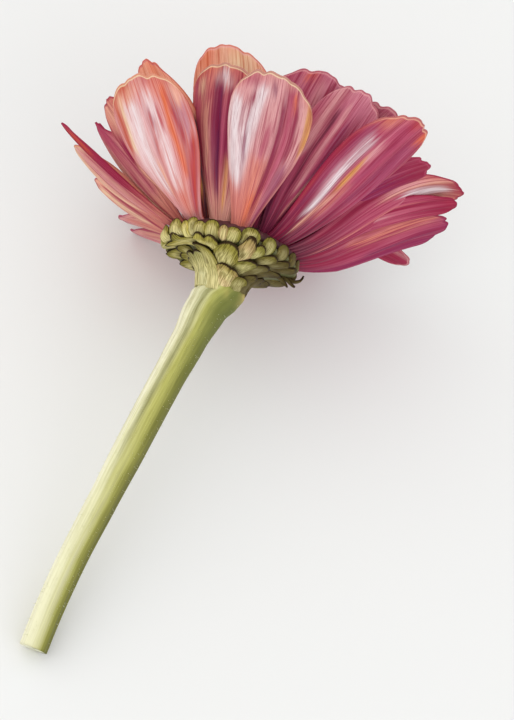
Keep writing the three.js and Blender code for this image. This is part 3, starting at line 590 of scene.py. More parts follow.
def back_colour(petal, x, q):
    """The colour of a petal's back, the side that faces away from the disc."""
    root, middle, tip = petal["tones"]
    colour = root.lerp(middle, between(0.0, 0.5, x)).lerp(tip, between(0.6, 1.0, x))
    seed = petal["clock"] * 3
    drift = q + 0.05 * noise.noise(Vector((x * 5, q * 4, seed)))
    drift += 0.05 * noise.noise(Vector((q * 28, x * 3, seed + 9)))
    for stain, first, last, (start, end), width, strength in petal["streaks"]:
        share = min(max((x - start) / (end - start), 0.0), 1.0)
        place = first + (last - first) * share
        cover = math.exp(-((drift - place) / width) ** 2) * strength
        frayed = x + 0.07 * noise.noise(Vector((q * 22, x * 2, start + seed)))
        cover *= between(start - 0.05, start + 0.05, frayed) * (1 - between(end - 0.05, end + 0.05, frayed))
        colour = colour.lerp(stain, cover)
    # Painted shade along the valley of each fold, fading out at the foot and the tip.
    for place, depth, width in petal["folds"]:
        shade = 0.5 * min(depth, 1.0) * math.exp(-((q - place) / (width * 0.7)) ** 2)
        colour = colour.lerp(PLUM, shade * between(0.0, 0.3, x) * (1 - between(0.75, 1.0, x)))
    blush, strength = petal["blush"]
    edge = max(between(0.84, 1.0, abs(q)), between(0.9, 1.0, x / tip_reach(petal, q)))
    patchy = 0.6 + 0.8 * noise.noise(Vector((q * 3, x * 7, seed + 5)))
    return colour.lerp(blush, min(1.0, edge * strength * patchy * between(0.1, 0.4, x)))


def face_colour(petal, x, q):
    """The colour of a petal's face, which looks to the disc: deep rose, darker at its foot."""
    colour = WINE.lerp(CRIMSON, between(0.0, 0.35, x)).lerp(ROSE, between(0.3, 1.0, x))
    return colour.lerp(SALMON, 0.35 * between(0.8, 1.0, max(x, abs(q))))


def mapped_sheet(columns, rows):
    """A flat grid from -1 to 1 each way, with a map that runs from 0 to 1 over it."""
    sheet = bmesh.new()
    bmesh.ops.create_grid(sheet, x_segments=columns, y_segments=rows, size=1.0, calc_uvs=True)
    map_layer = sheet.loops.layers.uv.active or sheet.loops.layers.uv.new("UVMap")
    for face in sheet.faces:
        for loop in face.loops:
            loop[map_layer].uv = ((loop.vert.co.x + 1) / 2, (loop.vert.co.y + 1) / 2)
    return sheet


def petal_blade(petal, number):
    """One closed petal as a bmesh, with its colours, in its place on the flower."""
    blade = mapped_sheet(PETAL_COLUMNS, PETAL_ROWS)
    along_layer = blade.verts.layers.float.new("along")
    across_layer = blade.verts.layers.float.new("across")
    seed_layer = blade.verts.layers.float.new("seed")
    paint_layer = blade.verts.layers.float_color.new("paint")
    rim_layer = blade.verts.layers.float_color.new("rim")
    blade.verts.layers.float_color.new("ink")
    for vert in blade.verts:
        q = vert.co.x
        share = (vert.co.y + 1) / 2
        root = -ROOT_SUNK / petal["length"]
        x = root + (tip_reach(petal, q) - root) * share
        vert[along_layer] = x
        vert[across_layer] = q
        vert.co = petal_point(petal, x, q) * mm
    blade.normal_update()
    shell = bmesh.ops.solidify(blade, geom=blade.faces[:], thickness=PETAL_THICKNESS)
    moved = {item for item in shell["geom"] if isinstance(item, bmesh.types.BMVert)}
    if blade.calc_volume(signed=True) < 0:
        bmesh.ops.reverse_faces(blade, faces=blade.faces[:])
    bridges = [edge for edge in blade.edges if (edge.verts[0] in moved) != (edge.verts[1] in moved)]
    split = bmesh.ops.subdivide_edges(blade, edges=bridges, cuts=1)
    rounding = {item for item in split["geom_inner"] if isinstance(item, bmesh.types.BMVert)}
    blade.normal_update()
    rim_colour, rim_strength = petal["rim"]
    rim_start = 0.7 if petal["width"] > NARROW_WIDTH else 0.15
    narrowness = min(1.0, max(0.0, (NARROW_WIDTH - petal["width"]) / 4))
    ink_layer = blade.verts.layers.float_color["ink"]
    for vert in blade.verts:
        x, q = vert[along_layer], vert[across_layer]
        side = face_colour if vert in moved else back_colour
        colour = side(petal, x, q)
        vert[paint_layer] = (*colour, 1 - 0.65 * min(1.0, colour.y * 1.3))
        vert[rim_layer] = (*rim_colour, rim_strength * between(rim_start, rim_start + 0.2, x))
        vert[ink_layer] = (*petal["ink"], narrowness)
        vert[seed_layer] = number * 0.37
    for vert in rounding:
        vert.co += vert.normal * PETAL_THICKNESS * EDGE_SWELL
    blade.transform(HEAD)
    for vert in blade.verts:
        vert.co.z = max(vert.co.z, 0.0)
    return blade


def gathered(blades):
    """Several bmeshes put together in one."""
    whole = bmesh.new()
    for blade in blades:
        mesh = bpy.data.meshes.new("blade")
        blade.to_mesh(mesh)
        blade.free()
        whole.from_mesh(mesh)
        bpy.data.meshes.remove(mesh)
    return whole


petal_finish, place, chart, shader = new_finish("petal_skin", 0.6, Specular_IOR_Level=0.16)
across, along, _ = chart.parts()
seed = place.mark("seed", "Fac")
lengthwise = across.together(along, seed)
bands = lengthwise.stretched(13.0, 1.3, 1.0).grain(1.0, 2.0)
veins = lengthwise.stretched(52.0, 2.2, 1.0).grain(1.0, 1.5)
pencil = lengthwise.stretched(140.0, 9.0, 1.0).grain(1.0, 2.0)
painted = place.mark("paint")
depth = place.mark("paint", "Alpha")
ink = place.mark("ink")
deeper = (bands.rise(0.5, 0.68) * depth * 0.5).tint(painted, ink)
paler = ((1 - bands).rise(0.52, 0.7) * depth * 0.6).tint(deeper, linear("8f5058"), "SCREEN")
veined = (veins.rise(0.55, 0.65) * (0.32 + 0.34 * depth)).tint(paler, ink)
lined = ((1 - veins).rise(0.55, 0.67) * 0.5).tint(veined, linear("7d4a4e"), "SCREEN")
drawn = (pencil.rise(0.45, 0.62) * 0.3).tint(lined, ink)
side = (across * 2 - 1).size() + place.mark("ink", "Alpha") * 0.06
wander = (bands - 0.5) * 0.03
broken = 0.55 + pencil * 0.6
edge = (side + wander).rise(0.95, 0.975).larger((along + wander * 0.3).rise(0.984, 0.991))
rimmed = (edge * place.mark("rim", "Alpha") * broken).tint(drawn, place.mark("rim"))
# A thin dark line at the very edge: partly a drawn contour, partly painted shadow where petals touch.
margin = (side + wander * 0.3).rise(0.985, 0.997).larger((along + wander * 0.1).rise(0.994, 0.998))
contoured = (margin * 0.6).tint(rimmed, ink)
feed(shader, Base_Color=contoured, Roughness=0.55 + veins * 0.15,
     Normal=raised(bands * 1.2 + veins * 0.6 + pencil * 0.15, 0.14 * mm, 0.6))

for whorl in WHORL_ROOTS:
    blades = [petal_blade(petal, number) for number, petal in enumerate(RAY_FLORETS)
              if petal["whorl"] == whorl]
    piece = finished("ray_florets_" + whorl, gathered(blades), petal_finish)
    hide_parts("ray_florets")
    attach(piece, "root")

# Ring of floret tubes
# Under its petal each ray floret is a short fleshy tube. The tubes stand side by side in a
# firm ring between the cup and the disc, and the petals grow out of its three steps. The tubes
# are pale, but the ring is painted dark wine-brown all over: painted shade of the deep gap
# between the bracts and the petals.
CUP_TOP = 0.6
SEAT_GAP = 0.3
DISC_RADIUS = 8.6
TUBE_COUNT = 42
TUBE_SWELL = 0.16
RING_FOOT = CUP_TOP + SEAT_GAP


def turned(profile, steps):
    """A closed solid turned about the head's axis, from points of radius and height."""
    shell = bmesh.new()
    corners = [shell.verts.new((radius, 0, height)) for radius, height in profile]
    edges = [shell.edges.new(pair) for pair in zip(corners, corners[1:])]
    bmesh.ops.spin(shell, geom=corners + edges, axis=(0, 0, 1), cent=(0, 0, 0),
                   angle=2 * math.pi, steps=steps, use_merge=True)
    bmesh.ops.remove_doubles(shell, verts=shell.verts[:], dist=0.001)
    bmesh.ops.recalc_face_normals(shell, faces=shell.faces[:])
    return shell


def in_head(piece):
    """Takes a bmesh in millimetres of the head's frame to its place."""
    piece.transform(HEAD @ Matrix.Scale(mm, 4))
    return piece


outer, middle, inner = (WHORL_ROOTS[whorl] for whorl in ("outer", "middle", "inner"))
inside = DISC_RADIUS + 0.6
ring = turned([(inside, RING_FOOT), (outer[0] + 0.3, RING_FOOT), (outer[0] + 0.5, RING_FOOT + 0.8),
               (outer[0] + 0.3, outer[1]), (middle[0] + 0.2, middle[1]), (inner[0], inner[1]),
               (inside, inner[1]), (inside, RING_FOOT)], TUBE_COUNT * 6)
for vert in ring.verts:
    clock = math.atan2(vert.co.y, vert.co.x)
    swell = TUBE_SWELL * math.cos(TUBE_COUNT * clock) * between(inside, outer[0], vert.co.xy.length)
    vert.co.xy *= 1 + swell / vert.co.xy.length
tube_shade_finish, place, _, shader = new_finish("floret_tube", 0.6)
cloud = place.grain(900.0, 3.0)
# Dark wine-brown all over: painted shade of the gap between the bracts and the petals.
feed(shader, Base_Color=cloud.tint(linear("3a1c22"), linear("6b3a3c")),
     Normal=raised(cloud, 0.1 * mm, 0.5))
piece = finished("ray_floret_tubes", in_head(ring), tube_shade_finish)
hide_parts("ray_florets")
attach(piece, "root")

# Cup
# The swollen green end of the stalk that carries the bloom. It shows only in the gaps
# between the bracts, and it is coloured dark olive.
CUP_FOOT = -7.6
CUP_RIM_RADIUS = 13.7
CUP_PROFILE = [(4.4, CUP_FOOT), (4.6, -6.2), (5.6, -4.7), (8.2, -3.3), (11.0, -2.3),
               (13.0, -1.0), (CUP_RIM_RADIUS, -0.1), (13.6, CUP_TOP)]
CUP_LEFT_RISE = 3.0
CUP_RIGHT_RISE = 1.3


def smooth_line(points, steps=10):
    """Points close together on a smooth curve through the points given."""
    points = [Vector(point) for point in points]
    ends = [2 * points[0] - points[1], *points, 2 * points[-1] - points[-2]]
    line = []
    for before, start, end, after in zip(ends, ends[1:], ends[2:], ends[3:]):
        for k in range(steps):
            t = k / steps
            from_start = start * (2 * t ** 3 - 3 * t ** 2 + 1) + end * (3 * t ** 2 - 2 * t ** 3)
            slopes = (end - before) * (t ** 3 - 2 * t ** 2 + t) + (after - start) * (t ** 3 - t ** 2)
            line.append(from_start + slopes / 2)
    return line + [points[-1]]


def along_line(line, share):
    """The point at a share of a line's length, and the way that the line runs there."""
    lengths = [(end - start).length for start, end in zip(line, line[1:])]
    left = share * sum(lengths)
    spot = 0
    while spot < len(lengths) - 1 and left > lengths[spot]:
        left -= lengths[spot]
        spot += 1
    way = (line[spot + 1] - line[spot]).normalized()
    return line[spot] + way * left, way


def sides_lifted(piece):
    """The cup is shallower on its sides: lifts them half way between its foot and its rim."""
    neck = CUP_PROFILE[0][0]
    for vert in piece.verts:
        radius = vert.co.xy.length
        right = vert.co.y / max(radius, 1.0)
        rise = max(-CUP_LEFT_RISE * right, CUP_RIGHT_RISE * right)
        share = min(max((radius - neck) / (CUP_RIM_RADIUS - neck), 0.0), 1.0)
        below = min(max(-vert.co.z, 0.0), 1.0)
        vert.co.z += rise * math.sin(math.pi * share) * below
    return piece


cup_line = smooth_line(CUP_PROFILE)
cup = sides_lifted(turned([(0, CUP_FOOT), *cup_line, (0, CUP_TOP)], 96))
cup_finish, place, _, shader = new_finish("cup_flesh", 0.6)
cloud = place.grain(700.0, 3.0)
feed(shader, Base_Color=cloud.tint(linear("3e3a1e"), linear("6f7038")),
     Normal=raised(cloud, 0.1 * mm, 0.5))
piece = finished("involucre_cup", in_head(cup), cup_finish)
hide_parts("involucre")
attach(piece, "root")

# Bracts
# Leathery scales that overlap on the cup like tiles, long ones from the stem and short ones
# up to the rim. Each has a swollen olive back, a pale foot and a round tip with a dark papery
# rim. On the right-hand side of the head, away from the light, they are dark brown, partly dry
# and partly painted shade, and their tips curl back like claws. Each back carries a painted
# highlight on its middle, and a painted shadow just beyond the round tips of the bracts below.
CUP_ARC = sum((end - start).length for start, end in zip(cup_line, cup_line[1:]))
BRACT_THICKNESS = 0.35
BRACT_LIFT = 0.95
BRACT_CROWN = 0.55
BRACT_FOOT_LIFT = 0.15
LEFT_FOOT_LIFT = 1.1
BRACT_ROUND = 0.42
BRACT_COLUMNS = 16
BRACT_ROWS = 20
FADED = linear("dcd9a8")
YELLOW = linear("d6c764")
TAN = linear("c8a07c")
GREEN = linear("84833c")
BROWN = linear("4f4420")


def bract(tip, foot, width, tone=FADED, strength=0.0, stand=0.0, point=0.0):
    """A bract from its foot to its tip, each given as a clock in degrees and a share of the cup."""
    return dict(tip=tip, foot=foot, width=width, tone=tone, strength=strength, stand=stand,
                point=point)


BRACTS = [
    bract((-2, 0.40), (-12, -0.08), 5.1, TAN, 0.5),
    bract((-62, 0.45), (-56, -0.08), 5.0, FADED, 0.6),
    bract((-88, 0.46), (-84, -0.08), 4.6, FADED, 0.3),
    bract((32, 0.24), (22, -0.1), 4.0, GREEN, 0.5),
    bract((58, 0.34), (44, -0.08), 4.4, GREEN, 0.4),
    bract((86, 0.4), (74, -0.08), 4.6, BROWN, 0.5),
    bract((-48, 0.68), (-34, -0.1), 4.4, GREEN, 0.2),
    bract((-6, 0.88), (-20, 0.1), 5.6, GREEN, 0.15),
    bract((20, 0.66), (14, 0.22), 4.6, GREEN, 0.55),
    bract((45, 0.62), (36, 0.2), 4.4, BROWN, 0.3),
    bract((76, 0.64), (50, 0.2), 3.6, BROWN, 0.9, 0.2),
    bract((-24, 0.92), (-32, 0.45), 3.8, YELLOW, 0.3),
    bract((-36, 0.94), (-37, 0.5), 3.2, YELLOW, 0.8),
    bract((-66, 0.92), (-42, 0.5), 3.2, GREEN, 0.2),
    bract((-88, 0.8), (-62, 0.45), 3.4, YELLOW, 0.5),
    bract((8, 0.98), (4, 0.4), 4.2, TAN, 0.7),
    bract((18, 0.95), (15, 0.6), 3.0, GREEN, 0.5),
    bract((34, 0.9), (29, 0.5), 3.8, BROWN, 0.4),
    bract((52, 0.92), (44, 0.5), 3.8, BROWN, 0.4),
    bract((68, 0.93), (60, 0.5), 3.6, BROWN, 0.5),
    bract((-88, 1.1), (-76, 0.75), 3.6, GREEN, 0.1),
    bract((-106, 1.0), (-94, 0.7), 3.2, GREEN, 0.3),
    bract((-68, 1.13), (-57, 0.8), 3.6, FADED, 0.1),
    bract((-52, 1.09), (-46, 0.75), 2.0, YELLOW, 0.8),
    bract((-45, 1.14), (-42, 0.85), 2.8, GREEN, 0.2),
    bract((-37, 1.08), (-36, 0.8), 3.0, FADED, 0.1),
    bract((-27, 1.12), (-24, 0.75), 3.4, GREEN, 0.2),
    bract((-16, 1.07), (-15, 0.8), 2.2, TAN, 0.6, 0.0, 0.6),
    bract((-6, 1.06), (-10, 0.8), 3.2, GREEN, 0.4),
    bract((8, 1.13), (4, 0.8), 4.0, GREEN, 0.7),
    bract((25, 1.1), (22, 0.75), 3.2, GREEN, 0.6),
    bract((42, 1.11), (38, 0.8), 3.2, BROWN, 0.3),
    bract((58, 1.1), (54, 0.8), 3.2, BROWN, 0.4),
    bract((75, 1.1), (70, 0.8), 3.2, BROWN, 0.4),
    bract((87, 0.74), (78, 0.5), 1.5, BROWN, 0.95, 1.3, 0.4),
    bract((90, 0.86), (84, 0.6), 1.4, BROWN, 0.95, 1.3, 0.4),
    bract((93, 0.97), (89, 0.7), 1.4, BROWN, 0.95, 1.4, 0.4),
    bract((-104, 0.66), (-99, 0.15), 5.0, GREEN, 0.2),
    bract((-114, 0.44), (-110, -0.08), 4.8, FADED, 0.2),
    bract((98, 1.08), (92, 0.8), 3.2, BROWN, 0.6),
]
HIDDEN_SIDE_START = 112
HIDDEN_SIDE_SPAN = 140
EVEN_ROWS = [(0.42, 36, -0.08, 4.8), (0.66, 29, 0.1, 5.0), (0.9, 25, 0.4, 4.8), (1.1, 23, 0.7, 4.4)]
for tip, apart, foot, width in EVEN_ROWS:
    stagger = (tip % 0.4) / 0.4 * 0.5
    for step in range(int(HIDDEN_SIDE_SPAN / apart) + 1):
        clock = HIDDEN_SIDE_START + apart * (step + stagger)
        BRACTS.append(bract((clock, tip), (clock - 4, foot), width, GREEN, 0.3))


def draws(seed):
    """Numbers between -1 and 1 that are the same on every run."""
    state = seed
    while True:
        state = (state * 1664525 + 1013904223) % 4294967296
        yield state / 4294967296 * 2 - 1


def tip_shadow(share, turn, radius, lower):
    """How deep a place on the cup lies in the painted shadow just beyond the round tips of lower bracts."""
    depth = 0.0
    for clock, tip_share, round_radius in lower:
        around = (turn - clock) * radius
        up = (share - tip_share) * CUP_ARC + round_radius
        if up > -0.5:
            depth = max(depth, 1 - between(-0.1, 0.8, math.hypot(around, up) - round_radius))
    return depth


def bract_blade(scale, number):
    """One closed bract as a bmesh, in its place on the flower."""
    blade = mapped_sheet(BRACT_COLUMNS, BRACT_ROWS)
    dry_and_shaded_layer = blade.verts.layers.float.new("dry_and_shaded")
    seed_layer = blade.verts.layers.float.new("seed")
    tone_layer = blade.verts.layers.float_color.new("tone")
    tip_shadow_layer = blade.verts.layers.float.new("tip_shadow")
    (tip_clock, tip_share), (foot_clock, foot_share) = scale["tip"], scale["foot"]
    lower = [(math.radians(other["tip"][0]), other["tip"][1], other["width"] * BRACT_ROUND)
             for other in BRACTS if 0.05 < tip_share - other["tip"][1] < 0.6
             and abs(other["tip"][0] - tip_clock) < 40]
    # On the right-hand side, away from the light, a bract is pressed flat and darker: partly dry, partly
    # painted shade.
    dry_and_shaded = between(10, 60, tip_clock) * (1 - between(130, 190, tip_clock % 360))
    left_foot = max(0.0, -math.sin(math.radians(tip_clock))) if foot_share < 0 else 0.0
    root_lift = BRACT_FOOT_LIFT + LEFT_FOOT_LIFT * left_foot
    pressed = max(dry_and_shaded, 1 - between(-0.3, 0.1, math.cos(math.radians(tip_clock))))
    top = max(root_lift, (BRACT_LIFT + 0.35 * (1.15 - tip_share)) * (1 - 0.55 * pressed))
    round_tip = 2.4 - scale["point"] * 1.6
    for vert in blade.verts:
        q = vert.co.x
        reach = 0.5 + 0.5 * math.sqrt(1 - 0.96 * abs(q) ** round_tip)
        x = reach * (vert.co.y + 1) / 2
        share = foot_share + (tip_share - foot_share) * x
        clock = math.radians(foot_clock + (tip_clock - foot_clock) * x)
        at, way = along_line(cup_line, share)
        up = (tip_share - foot_share) * CUP_ARC
        around = math.radians(tip_clock - foot_clock) * at.x
        ragged = 1 + 0.06 * noise.noise(Vector((q * 3, x * 4, number * 1.7)))
        half = scale["width"] / 2 * (0.72 + 0.28 * math.sin(math.pi * min(x / 0.7, 1) / 2)) * ragged
        aside = q * half / math.hypot(up, around)
        at, way = along_line(cup_line, share - aside * around / CUP_ARC)
        turn = clock + aside * up / at.x
        edge = max(abs(q), x / reach)
        belly = 0.35 * (1 - 0.6 * pressed) * math.sin(math.pi * min(x * 1.1, 1)) * (1 - q * q)
        lip = 0.1 * between(0.78, 0.95, edge) * between(0.4, 0.7, x)
        out_of_stem = between(-0.1, 0.05, share) * 0.65 if foot_share < 0 else 0.0
        off = max(root_lift + (top - root_lift) * between(-0.1, 0.9, x), out_of_stem)
        off += belly + lip - BRACT_CROWN * q * q * (1 - 0.6 * x) + scale["stand"] * x ** 3
        radius = at.x + way.y * off
        vert.co = (radius * math.cos(turn), radius * math.sin(turn), at.y - way.x * off)
        vert[tip_shadow_layer] = tip_shadow(share - aside * around / CUP_ARC, turn, at.x, lower)
        vert[dry_and_shaded_layer] = dry_and_shaded
        vert[seed_layer] = number
        vert[tone_layer] = (*scale["tone"], scale["strength"])
    blade.normal_update()
    bmesh.ops.solidify(blade, geom=blade.faces[:], thickness=BRACT_THICKNESS)
    if blade.calc_volume(signed=True) < 0:
        bmesh.ops.reverse_faces(blade, faces=blade.faces[:])
    return in_head(sides_lifted(blade))


blades = [bract_blade(scale, number) for number, scale in enumerate(BRACTS)]
bract_finish, place, chart, shader = new_finish("bract_skin", 0.65, Specular_IOR_Level=0.1)
across, along, _ = chart.parts()
number = place.mark("seed", "Fac")
dry_and_shaded = place.mark("dry_and_shaded", "Fac")
aside = (across * 2 - 1).size()
lengthwise = (across * 26).together(along * 3, number)
hatching = lengthwise.grain(1.0, 3.0)
blotch = (across * 2).together(along * 2, number * 3).grain(1.0, 2.0)
edge = aside.larger(along)
ragged = edge + (hatching - 0.5) * 0.12
rim = ragged.rise(0.94, 0.975) * along.rise(0.3, 0.62)
outline = ragged.rise(0.92, 0.98) * along.rise(0.02, 0.2) * 0.8
olive = (along + (blotch - 0.5) * 0.8).rise(0.15, 0.75)
body = olive.tint(linear("e4d89c"), linear("a0943f"))
tone = place.mark("tone")
toned = (place.mark("tone", "Alpha") * (blotch.rise(0.35, 0.6) * 0.6 + 0.5)).tint(body, tone)
# Painted highlight on the swollen middle of each back.
belly_highlight = (1 - (along * 2 - 1.15).size()).rise(0.3, 0.95) * (1 - aside).rise(0.2, 0.8)
paler = (belly_highlight * (0.4 + blotch * 0.5)).tint(toned, linear("e6dc9c"))
tip_shade = (along + (hatching - 0.5) * 0.15).rise(0.7, 0.95)
tipped = (tip_shade * 0.35).tint(paler, linear("7c7734"))
strokes = hatching.rise(0.42, 0.6) * 0.7
hatched = strokes.tint(tipped, linear("847c44"), "MULTIPLY")
# Dark brown on the right-hand side: partly dry brown, partly painted shade.
dried_and_shaded = (dry_and_shaded * (0.65 + blotch * 0.4)).tint(hatched, linear("3c2e0f"))
speckled = (dry_and_shaded * hatching.rise(0.52, 0.68) * 0.45).tint(dried_and_shaded, linear("9c8c4c"))
# Painted shadow cast just beyond the round tips of the lower bracts.
tip_shadowed = (place.mark("tip_shadow", "Fac") * (0.25 + hatching * 0.5)).tint(speckled, linear("4a3d18"))
edged = outline.tint(tip_shadowed, linear("40300f"))
feed(shader, Base_Color=rim.tint(edged, linear("33240f")), Roughness=0.5 + hatching * 0.2,
     Normal=raised(hatching, 0.12 * mm, 0.6))
piece = finished("involucre_bracts", gathered(blades), bract_finish)
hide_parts("involucre")
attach(piece, "root")

# Disc
# The dark dome in the middle of the bloom: closed florets and stiff pointed scales, packed
# turn by turn at the golden angle, smaller towards the top.
OPEN_RING_RADIUS = 8.5
OPEN_RING_HEIGHT = 9.9
DISC_TOP = 15.6
DISC_FOOT = 0.7
BUD_COUNT = 150
GOLDEN_ANGLE = math.pi * (3 - math.sqrt(5))
DISC_SIDE = [(DISC_RADIUS - 0.5, DISC_FOOT), (DISC_RADIUS - 0.5, 3.4), (DISC_RADIUS - 0.6, 6.6)]
DISC_DOME = [(OPEN_RING_RADIUS - 1.1, OPEN_RING_HEIGHT - 0.9),
             (OPEN_RING_RADIUS - 1.3, OPEN_RING_HEIGHT + 0.8), (6.0, 12.3), (4.5, 14.0),
             (2.2, 15.1), (0, DISC_TOP - 0.3)]


def standing_on(dome, share, clock):
    """A matrix that stands a small piece on the dome, at a share of its line from the rim."""
    at, way = along_line(dome, share)
    outward = Vector((math.cos(clock), math.sin(clock), 0))
    normal = outward * way.y + Vector((0, 0, 0.9 - way.x))
    place = outward * at.x + Vector((0, 0, at.y))
    return Matrix.Translation(place) @ normal.to_track_quat("Z", "Y").to_matrix().to_4x4()


def closed_floret(size, number):
    """A closed floret with the pointed scale that stands at its back."""
    bud = bmesh.new()
    tip_layer = bud.verts.layers.float.new("tip")
    seed_layer = bud.verts.layers.float.new("seed")
    bmesh.ops.create_uvsphere(bud, u_segments=8, v_segments=6, radius=1.0)
    for vert in bud.verts:
        vert[tip_layer] = between(-0.2, 1.0, vert.co.z) * 0.6
    bmesh.ops.scale(bud, vec=(0.42, 0.42, 1.0), verts=bud.verts[:])
    scale = bmesh.ops.create_cone(bud, cap_ends=True, segments=6, radius1=0.6, radius2=0.05,
                                  depth=2.9)["verts"]
    for vert in scale:
        vert[tip_layer] = between(0.2, 1.5, vert.co.z)
        vert.co = (vert.co.x * 0.4 - 0.42 + 0.1 * vert.co.z, vert.co.y, vert.co.z + 0.35)
    for vert in bud.verts:
        vert[seed_layer] = number
    bmesh.ops.scale(bud, vec=(size, size, size), verts=bud.verts[:])
    return bud


dome_line = smooth_line(DISC_DOME)
dome = turned([(0, DISC_FOOT), *DISC_SIDE, *dome_line], 72)
buds = [in_head(dome)]
for k in range(BUD_COUNT):
    share = 1 - 0.02 - 0.86 * math.sqrt((BUD_COUNT - k - 0.5) / BUD_COUNT)
    bud = closed_floret(0.75 + 0.2 * (1 - share), k)
    bud.transform(standing_on(dome_line, share, k * GOLDEN_ANGLE))
    buds.append(in_head(bud))
disc_finish, place, _, shader = new_finish("disc_floret_skin", 0.6, Specular_IOR_Level=0.3)
tip = place.mark("tip", "Fac")
number = place.mark("seed", "Fac")
cloud = place.grain(1500.0, 3.0)
body = cloud.tint(linear("2f1a27"), linear("5d3844"))
golden = (tip * (number * 0.37).math("FRACT", number * 0.37)).tint(body, linear("c98a3a"))
feed(shader, Base_Color=golden, Normal=raised(cloud, 0.1 * mm, 0.5))
piece = finished("disc_closed_florets", gathered(buds), disc_finish)
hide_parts("disc")
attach(piece, "root")

# Open disc florets
# Small yellow stars round the shoulder of the disc. Each is a tube that opens in five furry
# pointed lobes, with a dark column of anthers and a forked style in the middle.
OPEN_FLORET_COUNT = 20
STAR_LIFT = 2.2
STAR_REACH = 1.3
LOBE_HALF_WIDTH = 0.34
LOBE_THICKNESS = 0.12
LOBE_TURN = 2 * math.pi / 5
STAR_SEED = 5


def star_lobe(clock):
    """One curved pointed lobe of a star, from its root on the tube to its tip."""
    lobe = bmesh.new()
    bmesh.ops.create_grid(lobe, x_segments=4, y_segments=5, size=1.0)
    for vert in lobe.verts:
        share = (vert.co.y + 1) / 2
        wide = LOBE_HALF_WIDTH * math.sin(math.pi * min(0.35 + 0.62 * share, 1.0)) + 0.03
        reach = 0.3 + (STAR_REACH - 0.3) * share
        height = 0.42 * math.sin(share * 2.4) - 0.25 * share + 0.5 * (vert.co.x * wide) ** 2
        vert.co = (reach, vert.co.x * wide, height)
    lobe.normal_update()
    bmesh.ops.solidify(lobe, geom=lobe.faces[:], thickness=LOBE_THICKNESS)
    bmesh.ops.rotate(lobe, cent=(0, 0, 0), matrix=Matrix.Rotation(clock, 3, "Z"), verts=lobe.verts[:])
    return lobe


def tapered(bottom, top, low, high):
    """A small tapered column between two heights."""
    column = bmesh.new()
    bmesh.ops.create_cone(column, cap_ends=True, segments=10, radius1=bottom, radius2=top,
                          depth=high - low)
    bmesh.ops.translate(column, vec=(0, 0, (low + high) / 2), verts=column.verts[:])
    return column


def marked(piece, name, value):
    layer = piece.verts.layers.float.new(name)
    for vert in piece.verts:
        vert[layer] = value
    return piece


def open_floret(turn):
    parts = [star_lobe(turn + k * LOBE_TURN) for k in range(5)]
    parts.append(tapered(0.34, 0.5, -STAR_LIFT, 0.12))
    parts = [marked(part, "anther", 0.0) for part in parts]
    parts.append(marked(tapered(0.26, 0.2, 0.1, 1.0), "anther", 1.0))
    for side in (-1, 1):
        style = tapered(0.09, 0.04, 0.9, 1.6)
        for vert in style.verts:
            vert.co.x += side * 0.5 * max(0.0, vert.co.z - 0.9) ** 1.3
        parts.append(marked(style, "anther", 0.0))
    return gathered(parts)


draw = draws(STAR_SEED)
stars = [turned([(OPEN_RING_RADIUS - 0.8, OPEN_RING_HEIGHT - 0.4),
                 (OPEN_RING_RADIUS + 0.4, OPEN_RING_HEIGHT - 0.4),
                 (OPEN_RING_RADIUS + 0.4, OPEN_RING_HEIGHT + 0.2),
                 (OPEN_RING_RADIUS - 0.8, OPEN_RING_HEIGHT + 0.4),
                 (OPEN_RING_RADIUS - 0.8, OPEN_RING_HEIGHT - 0.4)], 60)]
in_head(marked(stars[0], "anther", 0.5))
for k in range(OPEN_FLORET_COUNT):
    clock = (k + 0.15 * next(draw)) / OPEN_FLORET_COUNT * 2 * math.pi
    lift = STAR_LIFT + 0.4 * next(draw)
    star = open_floret(k * GOLDEN_ANGLE)
    lean = Matrix.Rotation(math.radians(10 + 6 * next(draw)), 4, "Y")
    place_at = Matrix.Translation((OPEN_RING_RADIUS, 0, OPEN_RING_HEIGHT + lift))
    star.transform(Matrix.Rotation(clock, 4, "Z") @ place_at @ lean)
    stars.append(in_head(star))
gold_finish, place, _, shader = new_finish("open_floret_gold", 0.6, Sheen_Weight=0.3)
cloud = place.grain(2200.0, 3.0)
body = cloud.tint(linear("b9772a"), linear("f0c552"))
anther = place.mark("anther", "Fac")
feed(shader, Base_Color=(anther * 0.75).tint(body, linear("5a3020")),
     Normal=raised(cloud, 0.08 * mm, 0.6))
piece = finished("open_disc_florets_gold", gathered(stars), gold_finish)
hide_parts("open_disc_florets")
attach(piece, "root")

# Stem
# A firm fleshy stem with low ribs and one deep groove. It is painted pale on the side towards
# the light, and dark olive on the side away from it and in the groove, darkest under the bloom:
# painted light and shade over its own green.
# It swells under the bloom and is cut straight across at its lower end, where the white pith
# shows inside a green rim. Short stiff hairs stand on its skin.
STEM_LINE = [(0, 0), (-1.1, -4.2), (-1.3, -12.5), (-1.6, -22), (-1.75, -34), (-1.8, -46),
             (-1.85, -58), (-1.35, -68), (-0.5, -76.6)]
STEM_RADII = [(0, 4.9), (0.02, 4.75), (0.055, 4.2), (0.15, 3.5), (0.26, 3.25), (0.45, 3.2),
              (0.6, 2.95), (0.75, 2.85), (1, 2.75)]
STEM_START_SLOPE = 0.249
STEM_FLAT = 0.25
STEM_RIB = 0.13
GROOVE_TURN = math.radians(65)
GROOVE_WIDTH = 0.2
GROOVE_DEPTH = 0.45
STEM_COLUMNS = 72
STEM_ROWS = 180
HAIR_COUNT = 900
HAIR_LENGTH = 0.45
HAIR_RADIUS = 0.045
HAIR_TIP_RADIUS = 0.006
HAIR_CLEARANCE = 0.3
HAIR_SEED = 23


def stem_radius(share):
    for (start, wide), (end, narrow) in zip(STEM_RADII, STEM_RADII[1:]):
        if share <= end:
            break
    return wide + (narrow - wide) * between(start, end, share)


